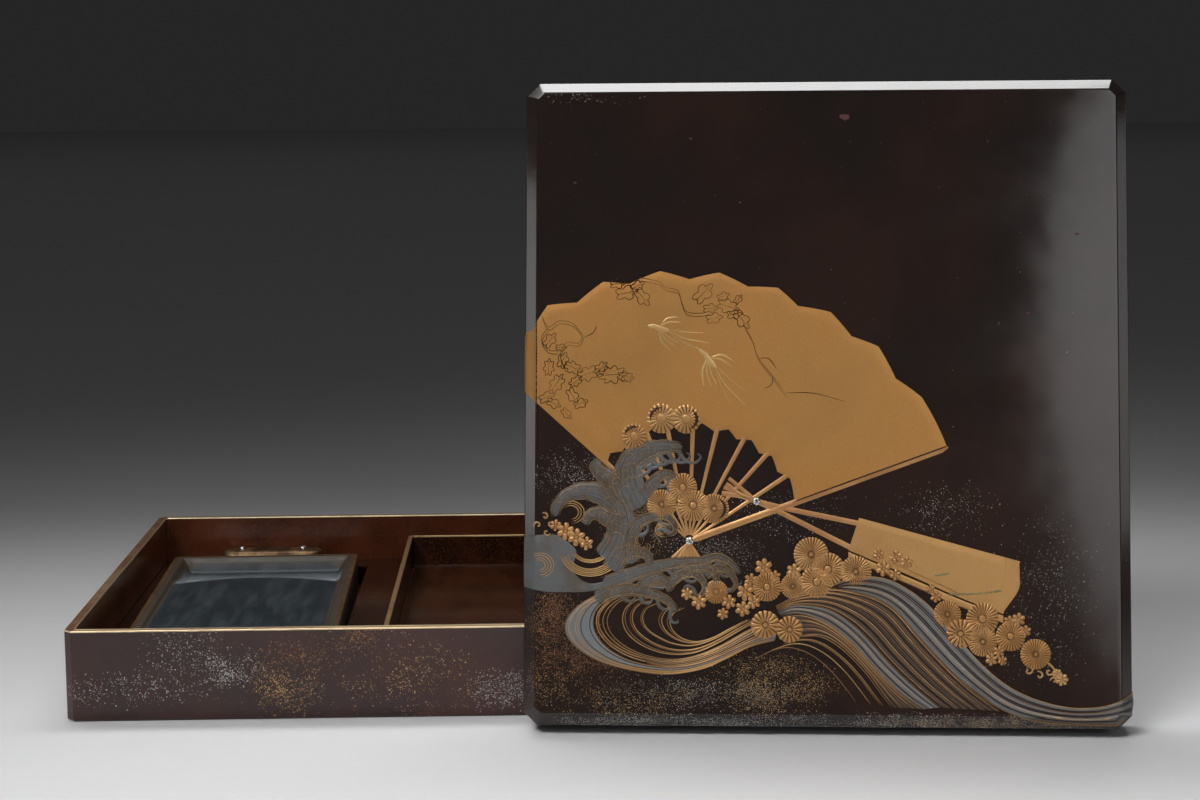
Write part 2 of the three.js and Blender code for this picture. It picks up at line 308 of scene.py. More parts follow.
def compass(angle: np.ndarray) -> np.ndarray:
    """Directions of length one at angles in radians."""
    return np.stack([np.cos(angle), np.sin(angle)], axis=-1)


def smooth_step(value: np.ndarray) -> np.ndarray:
    """Rises from 0 to 1 with level ends, as the cubic 3t^2 - 2t^3."""
    t = np.clip(value, 0, 1)
    return t**2 * (3 - 2 * t)


def capped(rings: np.ndarray, start_z: float, end_z: float, pull: float = 0.97) -> Skin:
    """A vessel whose first and last ring are closed flat, each with one ring set in from it.

    Args:
        rings: loops from first to last.
        start_z: height of the first middle.
        end_z: height of the last middle.
        pull: size of the rings that are set in.

    Returns:
        A closed surface.
    """
    inward = np.array([pull, pull, 1.0])
    whole = np.concatenate([rings[:1] * inward, rings, rings[-1:] * inward])
    return vessel(whole, np.array([0, 0, start_z]), np.array([0, 0, end_z]))


def shifted(x: float = 0.0, y: float = 0.0, z: float = 0.0) -> Callable[[np.ndarray], np.ndarray]:
    """A placing function that moves points."""
    return lambda points: points + np.array([x, y, z])


# The studio


@dataclass(frozen=True)
class Camera:
    """The photograph's camera, in millimetres and degrees."""

    place: Triple = (76.08, -1027.5, 250.32)
    turn: float = -1.35
    down: float = 7.92
    roll: float = -0.43
    lens: float = 71.94
    film: float = 36.0
    image: tuple[int, int] = (1200, 800)

    def facing(self) -> Matrix:
        """Rotation from the camera's own axes to the frame's."""
        level = Euler((math.radians(90 - self.down), 0.0, math.radians(self.turn))).to_matrix()
        return level @ Matrix.Rotation(math.radians(self.roll), 3, "Z")

    def build(self) -> None:
        """Puts the camera into the scene."""
        data = bpy.data.cameras.new("photo_camera")
        data.lens = self.lens
        data.sensor_width = self.film
        data.clip_start = 0.01
        data.clip_end = 60.0
        eye = bpy.data.objects.new("photo_camera", data)
        eye.matrix_world = Matrix.Translation([MM * c for c in self.place]) @ self.facing().to_4x4()
        bpy.context.scene.collection.objects.link(eye)
        bpy.context.scene.camera = eye

    def meets(self, pixel: Pair, point: Sequence[float], normal: Sequence[float]) -> np.ndarray:
        """Where the line of sight through a pixel of the photograph meets a plane.

        Args:
            pixel: column and row in the photograph.
            point: a point of the plane, in millimetres.
            normal: the plane's normal.

        Returns:
            The meeting point, in millimetres.
        """
        focal = self.lens / self.film * self.image[0]
        ray = np.array([pixel[0] - self.image[0] / 2, self.image[1] / 2 - pixel[1], -focal])
        sight = np.array(self.facing()) @ ray
        eye = np.array(self.place)
        n = np.array(normal, float)
        reach = ((np.array(point, float) - eye) @ n) / (sight @ n)
        return eye + reach * sight


@dataclass(frozen=True)
class Softbox:
    """A soft rectangular light: where it hangs, what it points at, its size in metres and its power."""

    name: str
    place: Triple
    aim: Triple
    size: Pair
    power: float
    spread: float = 180.0

    def build(self) -> None:
        """Hangs the light."""
        data = bpy.data.lights.new(self.name, "AREA")
        data.shape = "RECTANGLE"
        data.size, data.size_y = self.size
        data.energy = self.power
        data.spread = math.radians(self.spread)
        lamp = bpy.data.objects.new(self.name, data)
        away = Matrix.Translation(self.place).translation - Matrix.Translation(self.aim).translation
        lamp.location = self.place
        lamp.rotation_euler = away.to_track_quat("Z", "Y").to_euler()
        lamp.visible_camera = False
        bpy.context.scene.collection.objects.link(lamp)


@dataclass(frozen=True)
class Studio:
    """A pale floor that fades into a dark room, with a softbox overhead and dimmer ones round it."""

    floor_reach: float = 9.0
    room: float = 0.019
    lights: tuple[Softbox, ...] = (
        Softbox("overhead", (-0.02, 0.165, 0.85), (0.06, -0.45, 0.0), (0.95, 0.20), 1.95, 96.0),
        Softbox("front", (-0.50, -1.30, 1.40), (0.14, -0.50, 0.0), (1.0, 0.5), 2.9, 46.0),
        Softbox("right_panel", (1.12, -3.0, 1.28), (0.2, -0.1, 0.15), (1.2, 1.8), 1.86, 60.0),
        Softbox("left_panel", (-3.0, 0.45, 0.32), (0.0, 0.0, 0.15), (0.9, 0.6), 0.21, 50.0),
        Softbox("far_right_panel", (3.0, 0.25, 0.3), (0.3, 0.0, 0.15), (0.9, 0.6), 0.10, 50.0),
        Softbox("far_overhead", (0.1, 4.5, 4.0), (0.1, 4.5, 0.0), (7.0, 4.0), 4.2),
    )

    def build(self) -> None:
        """Lays the floor, hangs the lights and darkens the room."""
        scene = bpy.context.scene
        scene.view_settings.view_transform = "Standard"
        world = bpy.data.worlds.new("studio_room")
        world.use_nodes = True
        world.node_tree.nodes["Background"].inputs["Color"].default_value = (1.0, 1.0, 1.0, 1.0)
        world.node_tree.nodes["Background"].inputs["Strength"].default_value = self.room
        scene.world = world
        for light in self.lights:
            light.build()
        reach = self.floor_reach / MM
        side = np.linspace(-reach, reach, 13)
        x, y = np.meshgrid(side, side)
        points = np.stack([x, y, np.full_like(x, -0.02)], axis=-1).reshape(-1, 3)
        floor = mesh_object("floor", Skin(points, grid_faces(13, 13)), PaleFloor().build())


# Nodes of a finish


class Recipe:
    """The shader nodes of one finish, laid down one after another."""

    def __init__(self, name: str) -> None:
        """Starts a material with its surface shader and nothing else.

        Args:
            name: the material's name.
        """
        self.material = bpy.data.materials.new(name)
        self.material.use_nodes = True
        self.tree = self.material.node_tree
        self.tree.nodes.clear()
        self.surface = self.node("ShaderNodeBsdfPrincipled")
        output = self.node("ShaderNodeOutputMaterial")
        self.tree.links.new(self.surface.outputs[0], output.inputs["Surface"])

    def node(self, kind: str, **settings: object) -> bpy.types.Node:
        """A new node with some of its settings.

        Args:
            kind: the node's type.
            settings: its settings by name.

        Returns:
            The node.
        """
        made = self.tree.nodes.new(kind)
        for name, value in settings.items():
            setattr(made, name, value)
        return made

    def feed(self, socket: Socket, value: object) -> None:
        """Links a socket to another one, or sets its own value.

        Args:
            socket: the input.
            value: a socket, number, vector or colour.
        """
        if isinstance(value, bpy.types.NodeSocket):
            self.tree.links.new(value, socket)
        elif isinstance(value, tuple) and socket.type == "RGBA":
            socket.default_value = (*value[:3], 1.0)
        else:
            socket.default_value = value

    def finish(self, **inputs: object) -> bpy.types.Material:
        """Feeds the surface shader, whose inputs are named with underscores for spaces.

        Args:
            inputs: a value or socket for each input.

        Returns:
            The material.
        """
        for name, value in inputs.items():
            self.feed(self.surface.inputs[name.replace("_", " ").title()], value)
        return self.material

    def place(self) -> Socket:
        """Where a point is in the frame, in metres."""
        return self.node("ShaderNodeTexCoord").outputs["Object"]

    def mark(self, name: str, vector: bool = False) -> Socket:
        """A mark kept on the piece's points."""
        made = self.node("ShaderNodeAttribute", attribute_name=name)
        return made.outputs["Vector" if vector else "Fac"]

    def out(
        self,
        kind: str,
        inputs: dict[int | str, object],
        output: int | str = 0,
        **settings: object,
    ) -> Socket:
        """A new node's output, with its inputs fed.

        Args:
            kind: the node's type.
            inputs: a value or socket for some inputs, by name or number.
            output: which output.
            settings: the node's settings by name.

        Returns:
            The output.
        """
        made = self.node(kind, **settings)
        for name, value in inputs.items():
            self.feed(made.inputs[name], value)
        return made.outputs[output]

    def sums(self, operation: str, a: object, b: object) -> Socket:
        """One sum on two values."""
        return self.out("ShaderNodeMath", {0: a, 1: b}, operation=operation)

    def fade(self, value: Socket, start: float, end: float, low: float = 0.0, high: float = 1.0) -> Socket:
        """A smooth change from low to high while the value goes from start to end."""
        inputs = dict(enumerate((value, start, end, low, high)))
        return self.out("ShaderNodeMapRange", inputs, interpolation_type="SMOOTHSTEP")

    def blend(self, share: object, low: object, high: object, kind: str = "MIX") -> Socket:
        """Two colours mixed by a share."""
        inputs = {"Factor": share, 6: low, 7: high}
        return self.out("ShaderNodeMix", inputs, 2, data_type="RGBA", blend_type=kind)

    def noise(self, place: Socket, per_metre: float, detail: float = 3.0, rough: float = 0.55) -> Socket:
        """Cloudy noise from 0 to 1, finer with more to a metre."""
        inputs = {"Vector": place, "Scale": per_metre, "Detail": detail, "Roughness": rough}
        return self.out("ShaderNodeTexNoise", inputs, "Fac")

    def stretched(self, place: Socket, scale: Triple, turn: Triple = (0.0, 0.0, 0.0)) -> Socket:
        """Coordinates turned and stretched, for grain and scratches."""
        return self.out("ShaderNodeMapping", {"Vector": place, "Scale": scale, "Rotation": turn})

    def cells(self, place: Socket, per_metre: float) -> tuple[Socket, tuple[Socket, ...]]:
        """Random cells.

        Args:
            place: coordinates.
            per_metre: cells to a metre.

        Returns:
            The distance from a cell's middle, and three random values of each cell.
        """
        made = self.node("ShaderNodeTexVoronoi")
        self.feed(made.inputs["Vector"], place)
        self.feed(made.inputs["Scale"], per_metre)
        apart = self.node("ShaderNodeSeparateXYZ")
        self.feed(apart.inputs[0], made.outputs["Color"])
        return made.outputs["Distance"], tuple(apart.outputs)

    def spot(self, place: Socket, middle: Sequence[float], reach: Sequence[float]) -> Socket:
        """A soft spot: 1 at its middle and 0 beyond its reach, both in millimetres.

        Args:
            place: coordinates.
            middle: the spot's middle.
            reach: its half sizes.

        Returns:
            The spot's strength.
        """
        inputs = {"Vector": place, "Location": [MM * c for c in middle], "Scale": [MM * c for c in reach]}
        near = self.out("ShaderNodeMapping", inputs, vector_type="TEXTURE")
        return self.fade(self.out("ShaderNodeVectorMath", {0: near}, "Value", operation="LENGTH"), 1.0, 0.0)

    def flakes(self, place: Socket, per_metre: float, size: float, share: object) -> tuple[Socket, ...]:
        """Sprinkled flakes: cells near whose middle the metal shows, where the cell's chance is in the share.

        Args:
            place: the coordinates.
            per_metre: cells in a metre.
            size: a flake's radius as a share of a cell.
            share: the share of cells that hold a flake, a number or a socket.

        Returns:
            The mask of the flakes, and two random values for each.
        """
        distance, (chance, first, second) = self.cells(place, per_metre)
        held = self.sums("LESS_THAN", chance, share)
        near = self.fade(distance, size, 0.75 * size)
        return self.sums("MULTIPLY", held, near), first, second

    def bump(self, height: Socket, distance: float, strength: float, under: Socket | None = None) -> Socket:
        """A normal bent by a height whose full step is the distance in metres."""
        inputs = {"Strength": strength, "Distance": distance, "Height": height}
        return self.out("ShaderNodeBump", inputs | ({"Normal": under} if under else {}))


# Finishes


class Metal(Enum):
    """Metals sprinkled or painted on the lacquer."""

    GOLD = (0.58, 0.37, 0.16)
    PALE_GOLD = (0.72, 0.50, 0.24)
    RED_GOLD = (0.46, 0.22, 0.09)
    SILVER = (0.50, 0.49, 0.46)


@dataclass(frozen=True)
class Cloud:
    """A soft cloud of sprinkled metal, in millimetres."""

    middle: Triple
    reach: Triple
    share: float
    metal: Metal = Metal.GOLD


@dataclass(frozen=True)
class PaleFloor:
    """The plain pale sheet under the box."""

    tone: Colour = (0.66, 0.66, 0.67)

    def build(self) -> bpy.types.Material:
        """A matt sheet with a faint unevenness.

        Returns:
            The material.
        """
        r = Recipe("pale_floor")
        uneven = r.noise(r.place(), 3.0, 4.0)
        colour = r.blend(r.fade(uneven, 0.3, 0.7), tuple(0.97 * c for c in self.tone), self.tone)
        return r.finish(base_color=colour, roughness=0.75)


@dataclass(frozen=True)
class DarkLacquer:
    """Black-brown gloss lacquer with sprinkled metal, faint waves in its gloss, fine scratches and chips."""

    name: str
    clouds: tuple[Cloud, ...] = ()
    chips: Chips = ()
    own_place: bool = False
    lacquer: Colour = (0.0075, 0.0048, 0.0042)
    warm: Colour = (0.020, 0.0085, 0.0060)
    haze: float = 0.13
    fine: float = 1.0

    def build(self) -> bpy.types.Material:
        """Lacquer colour, then each cloud's flakes, then the chips and the worn gloss.

        Returns:
            The material.
        """
        r = Recipe(self.name)
        place = r.mark("place", vector=True) if self.own_place else r.place()
        mottle = r.noise(place, 22.0, 3.0)
        colour = r.blend(r.fade(mottle, 0.35, 0.75), self.lacquer, self.warm)
        metal: Socket | float = 0.0
        if self.clouds:
            metal, colour = self.sprinkle(r, place, colour)
        gone: Socket | float = 0.0
        for middle, radius in self.chips:
            crooked = r.sums("MULTIPLY", r.noise(place, 600.0, 2.0), 0.9)
            spot = r.spot(place, middle, (2.0 * radius, 1.2 * radius, 3.0 * radius))
            gone = r.sums("MAXIMUM", gone, r.fade(r.sums("SUBTRACT", spot, crooked), 0.05, 0.15))
        if self.chips:
            colour = r.blend(gone, colour, (0.10, 0.030, 0.020))
        smear = r.noise(r.stretched(place, (1.0, 3.0, 1.0), (0.0, 0.0, 0.5)), 14.0, 5.0, 0.6)
        dull = r.fade(smear, 0.3, 0.8, self.haze - 0.02, self.haze + 0.03)
        rough = r.sums("MAXIMUM", dull, r.sums("MULTIPLY", metal, 0.38))
        if self.chips:
            rough = r.sums("MAXIMUM", rough, r.sums("MULTIPLY", gone, 0.7))
        wave = r.bump(r.noise(place, 26.0, 2.0), 0.00035, 0.35)
        height = r.sums("SUBTRACT", metal, r.sums("MULTIPLY", gone, 5.0))
        scratch = r.noise(r.stretched(place, (1.0, 14.0, 1.0), (0.0, 0.0, 0.9)), 160.0, 3.0)
        fine = r.bump(scratch, 0.00002, 0.3, wave)
        normal = r.bump(height, 0.00003, 0.6, fine)
        shine = r.sums("MULTIPLY", metal, 0.85)
        return r.finish(base_color=colour, metallic=shine, roughness=rough, normal=normal)

    def sprinkle(self, r: Recipe, place: Socket, ground: Socket) -> tuple[Socket, Socket]:
        """Two sizes of flakes over the ground. Each metal's share is the strongest of its clouds.

        Args:
            r: the recipe that the nodes join.
            place: the coordinates.
            ground: the lacquer's colour.

        Returns:
            The mask of all flakes, and the colour with them on it.
        """
        ragged = r.fade(r.noise(place, 90.0, 4.0, 0.7), 0.28, 0.68)
        shares = {}
        for metal in (Metal.SILVER, Metal.RED_GOLD, Metal.GOLD):
            strongest: Socket | float = 0.0001
            for cloud in self.clouds:
                if cloud.metal is metal:
                    spot = r.sums("MULTIPLY", r.spot(place, cloud.middle, cloud.reach), cloud.share)
                    strongest = r.sums("MAXIMUM", strongest, spot)
            shares[metal] = strongest
        warm = r.sums("ADD", shares[Metal.GOLD], shares[Metal.RED_GOLD])
        whole = r.sums("ADD", warm, shares[Metal.SILVER])
        silver = r.sums("DIVIDE", shares[Metal.SILVER], whole)
        red = r.sums("DIVIDE", shares[Metal.RED_GOLD], warm)
        share = r.sums("MULTIPLY", whole, ragged)
        mask: Socket | float = 0.0
        colour = ground
        for per_metre, size in ((1050.0, 0.46), (1900.0, 0.5)):
            held, kind, tone = r.flakes(place, per_metre * self.fine, size, share)
            golden = r.blend(r.sums("LESS_THAN", tone, red), Metal.GOLD.value, Metal.RED_GOLD.value)
            flake = r.blend(r.sums("LESS_THAN", kind, silver), golden, Metal.SILVER.value)
            shade = r.blend(r.fade(tone, 0.0, 1.0), (0.45, 0.45, 0.45), (1.0, 1.0, 1.0))
            colour = r.blend(held, colour, r.blend(1.0, flake, shade, "MULTIPLY"))
            mask = r.sums("MAXIMUM", mask, held)
        return mask, colour


@dataclass(frozen=True)
class SprinkledLacquer:
    """Red-brown lacquer filled with fine gold, as inside the box: glossy, with soft darker and lighter
    mottling.
    """

    name: str
    base: Colour = (0.026, 0.0075, 0.0042)
    deep: Colour = (0.011, 0.0040, 0.0028)
    share: float = 0.30

    def build(self) -> bpy.types.Material:
        """Two sizes of gold specks under amber lacquer, with soft mottling.

        Returns:
            The material.
        """
        r = Recipe(self.name)
        place = r.place()
        mottle = r.noise(place, 38.0, 5.0, 0.65)
        colour = r.blend(r.fade(mottle, 0.3, 0.7), self.deep, self.base)
        gold: Socket | float = 0.0
        for per_metre, size, share in ((1500.0, 0.46, self.share), (2600.0, 0.5, 0.7 * self.share)):
            mask, tone, _ = r.flakes(place, per_metre, size, share)
            speck = r.blend(tone, (0.10, 0.030, 0.010), (0.30, 0.12, 0.035))
            colour = r.blend(mask, colour, speck)
            gold = r.sums("MAXIMUM", gold, mask)
        wave = r.bump(r.noise(place, 30.0, 2.0), 0.0003, 0.3)
        normal = r.bump(gold, 0.00002, 0.5, wave)
        rough = r.fade(r.noise(place, 17.0, 4.0), 0.3, 0.8, 0.11, 0.22)
        shine = r.sums("MULTIPLY", gold, 0.6)
        return r.finish(base_color=colour, metallic=shine, roughness=rough, normal=normal)


@dataclass(frozen=True)
class Gilding:
    """Powdered gold on lacquer: satin, grained, browner where it is rubbed through, and a darker brown as
    painted shade where the dull mark lies.
    """

    name: str
    gold: Colour = Metal.GOLD.value
    worn: Colour = (0.16, 0.070, 0.025)
    wear: float = 0.45
    rough: float = 0.42
    # painted shade: the darker brown laid on the gold where the dull mark lies
    dull: Colour = (0.115, 0.044, 0.014)

    def build(self) -> bpy.types.Material:
        """A grain of powder over soft patches, rubbed places that show the ground, and dull parts: rougher,
        less metallic and painted a darker brown as painted shade.

        Returns:
            The material.
        """
        r = Recipe(self.name)
        place = r.place()
        soft = r.noise(place, 32.0, 4.0, 0.6)
        grain = r.noise(place, 1500.0, 3.0, 0.7)
        light = tuple(min(1.0, 1.12 * c) for c in self.gold)
        dark = tuple(0.80 * c for c in self.gold)
        colour = r.blend(r.fade(soft, 0.3, 0.7), dark, light)
        colour = r.blend(r.fade(grain, 0.55, 0.8, 0.0, 0.35), colour, dark)
        rubbed = r.noise(place, 140.0, 6.0, 0.75)
        gone = r.fade(rubbed, 1.0 - self.wear, 1.12 - self.wear)
        colour = r.blend(gone, colour, self.worn)
        # where the dull mark lies, the gold is painted a darker brown as painted shade, and below it is made
        # rougher and less metallic
        dull_and_painted_shade = r.sums("MULTIPLY", r.mark("dull"), r.fade(soft, 0.2, 0.6, 0.75, 1.0))
        colour = r.blend(dull_and_painted_shade, colour, self.dull)
        rough = r.fade(soft, 0.2, 0.8, self.rough - 0.06, self.rough + 0.08)
        rough = r.sums("ADD", rough, r.sums("MULTIPLY", dull_and_painted_shade, 0.25))
        normal = r.bump(grain, 0.00003, 0.5)
        shine = r.sums("SUBTRACT", 0.85, r.sums("MULTIPLY", r.sums("MAXIMUM", gone, dull_and_painted_shade), 0.6))
        return r.finish(base_color=colour, metallic=shine, roughness=rough, normal=normal)


@dataclass(frozen=True)
class Slate:
    """Blue-grey slate with faint streaks, and chalky ink left in the pool."""

    stone: Colour = (0.014, 0.021, 0.026)
    pale: Colour = (0.033, 0.043, 0.050)
    chalk: Colour = (0.40, 0.46, 0.50)
    band: Colour = (0.060, 0.045, 0.031)

    def build(self) -> bpy.types.Material:
        """Streaks along the stone, a fine grain, and chalk by the mark that the stone carries.

        Returns:
            The material.
        """
        r = Recipe("slate")
        place = r.place()
        streak = r.noise(r.stretched(place, (3.0, 0.5, 1.0), (0.0, 0.0, -0.35)), 60.0, 5.0, 0.65)
        grain = r.noise(place, 900.0, 4.0, 0.7)
        colour = r.blend(r.fade(streak, 0.35, 0.75), self.stone, self.pale)
        film = r.noise(r.stretched(place, (0.6, 2.2, 1.0)), 110.0, 5.0, 0.7)
        amount = r.sums("MULTIPLY", r.mark("chalk"), r.fade(film, 0.15, 0.75, 0.25, 1.0))
        colour = r.blend(amount, colour, self.chalk)
        rubbed = r.fade(r.noise(place, 210.0, 5.0, 0.7), 0.60, 0.74, 1.0, 0.45)
        colour = r.blend(r.sums("MULTIPLY", r.mark("band"), rubbed), colour, self.band)
        rough = r.fade(streak, 0.3, 0.8, 0.34, 0.50)
        rough = r.sums("ADD", rough, r.sums("MULTIPLY", amount, 0.2))
        normal = r.bump(grain, 0.00004, 0.5, r.bump(streak, 0.0001, 0.3))
        return r.finish(base_color=colour, roughness=rough, normal=normal)


@dataclass(frozen=True)
class AgedBronze:
    """Brown bronze with the gold rubbed off its flats, a darker skin in the hollows, and its holes painted
    near black as painted shade.
    """

    name: str = "aged_bronze"

    def build(self) -> bpy.types.Material:
        """Brown skin, brighter rubbed patches, small pits, and the insides of the holes painted near black as
        painted shade.

        Returns:
            The material.
        """
        r = Recipe(self.name)
        place = r.place()
        skin = r.noise(place, 130.0, 5.0, 0.65)
        colour = r.blend(r.fade(skin, 0.35, 0.7), (0.075, 0.040, 0.020), (0.30, 0.190, 0.095))
        pits, _ = r.cells(place, 900.0)
        dark = r.fade(pits, 0.28, 0.12)
        colour = r.blend(r.sums("MULTIPLY", dark, 0.5), colour, (0.02, 0.011, 0.007))
        # painted shade: the inside of each hole is painted near black, as if it opened into the dark vessel
        colour = r.blend(r.mark("hole"), colour, (0.002, 0.0015, 0.001))
        normal = r.bump(skin, 0.00012, 0.4, r.bump(pits, 0.00003, 0.4))
        rough = r.fade(skin, 0.3, 0.8, 0.32, 0.52)
        return r.finish(base_color=colour, metallic=0.8, roughness=rough, normal=normal)


@dataclass(frozen=True)
class Silver:
    """Bright silver, a little tarnished."""

    name: str = "bright_silver"

    def build(self) -> bpy.types.Material:
        """Tarnish in patches and fine rubbing marks.

        Returns:
            The material.
        """
        r = Recipe(self.name)
        place = r.place()
        tarnish = r.noise(place, 900.0, 4.0, 0.6)
        colour = r.blend(r.fade(tarnish, 0.5, 0.8), (0.84, 0.83, 0.80), (0.42, 0.38, 0.33))
        rough = r.fade(tarnish, 0.3, 0.8, 0.15, 0.38)
        rubbed = r.bump(r.noise(place, 4000.0, 2.0), 0.00001, 0.4)
        return r.finish(base_color=colour, metallic=1.0, roughness=rough, normal=rubbed)


# Making pieces


def mesh_object(name: str, skin: Skin, material: bpy.types.Material, sharp: float = 40.0) -> bpy.types.Object:
    """Writes a surface into the scene.

    Args:
        name: the piece's name.
        skin: the surface, in millimetres.
        material: its finish.
        sharp: edges that turn by more than this many degrees stay sharp.

    Returns:
        The object, at the origin, with its place in its mesh.
    """
    mesh = bpy.data.meshes.new(name)
    mesh.vertices.add(len(skin.points))
    mesh.vertices.foreach_set("co", (skin.points * MM).astype(np.float32).ravel())
    mesh.loops.add(4 * len(skin.quads) + 3 * len(skin.tris))
    corners = np.concatenate([skin.quads.ravel(), skin.tris.ravel()]).astype(np.int32)
    mesh.loops.foreach_set("vertex_index", corners)
    sizes = np.repeat([4, 3], [len(skin.quads), len(skin.tris)])
    mesh.polygons.add(len(sizes))
    starts = np.concatenate([[0], np.cumsum(sizes)[:-1]]).astype(np.int32)
    mesh.polygons.foreach_set("loop_start", starts)
    mesh.update(calc_edges=True)
    mesh.validate()
    for mark, values in skin.marks.items():
        vector = values.ndim == 2
        made = mesh.attributes.new(mark, "FLOAT_VECTOR" if vector else "FLOAT", "POINT")
        made.data.foreach_set("vector" if vector else "value", values.astype(np.float32).ravel())
    mesh.shade_smooth()
    mesh.set_sharp_from_angle(angle=math.radians(sharp))
    mesh.materials.append(material)
    made = bpy.data.objects.new(name, mesh)
    bpy.context.scene.collection.objects.link(made)
    return made


def piece(
    name: str,
    skin: Skin,
    material: bpy.types.Material,
    slot: str,
    replaces: str | None = None,
    sharp: float = 40.0,
) -> bpy.types.Object:
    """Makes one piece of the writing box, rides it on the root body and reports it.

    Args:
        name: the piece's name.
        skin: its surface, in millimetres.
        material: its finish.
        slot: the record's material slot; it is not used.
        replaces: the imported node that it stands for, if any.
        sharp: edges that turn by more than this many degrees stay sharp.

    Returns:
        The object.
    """
    made = mesh_object(name, skin, material, sharp)
    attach(made, "root")
    if replaces:
        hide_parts(replaces)
    faces = 2 * len(skin.quads) + len(skin.tris)
    log.info("%s: %d triangles, %s finish", name, faces, material.name)
    return made


def rim_cap(
    outline: CutRectangle,
    top: float,
    wall: float,
    rise: float,
    soft: float,
    drops: tuple[float, ...],
    inset: float,
) -> Skin:
    """A thin gilded cap over a rim, sunk into the wall below.

    Args:
        outline: the rim's outside in plan.
        top: height of the rim.
        wall: the wall's thickness.
        rise: how far the gilding stands out.
        soft: softening of its two edges.
        drops: how far its outer and inner foot and its inner and outer hidden line lie below the top.
        inset: how far inside the wall the hidden lines run.

    Returns:
        The cap.
    """
    out, up = wall + rise, top + rise
    over = softened([(-rise, top - drops[0]), (-rise, up), (out, up), (out, top - drops[1])], [soft, soft])
    under = np.array([(wall - inset, top - drops[2]), (inset, top - drops[3])])
    return hoop(outline.rings(np.concatenate([over, under])))


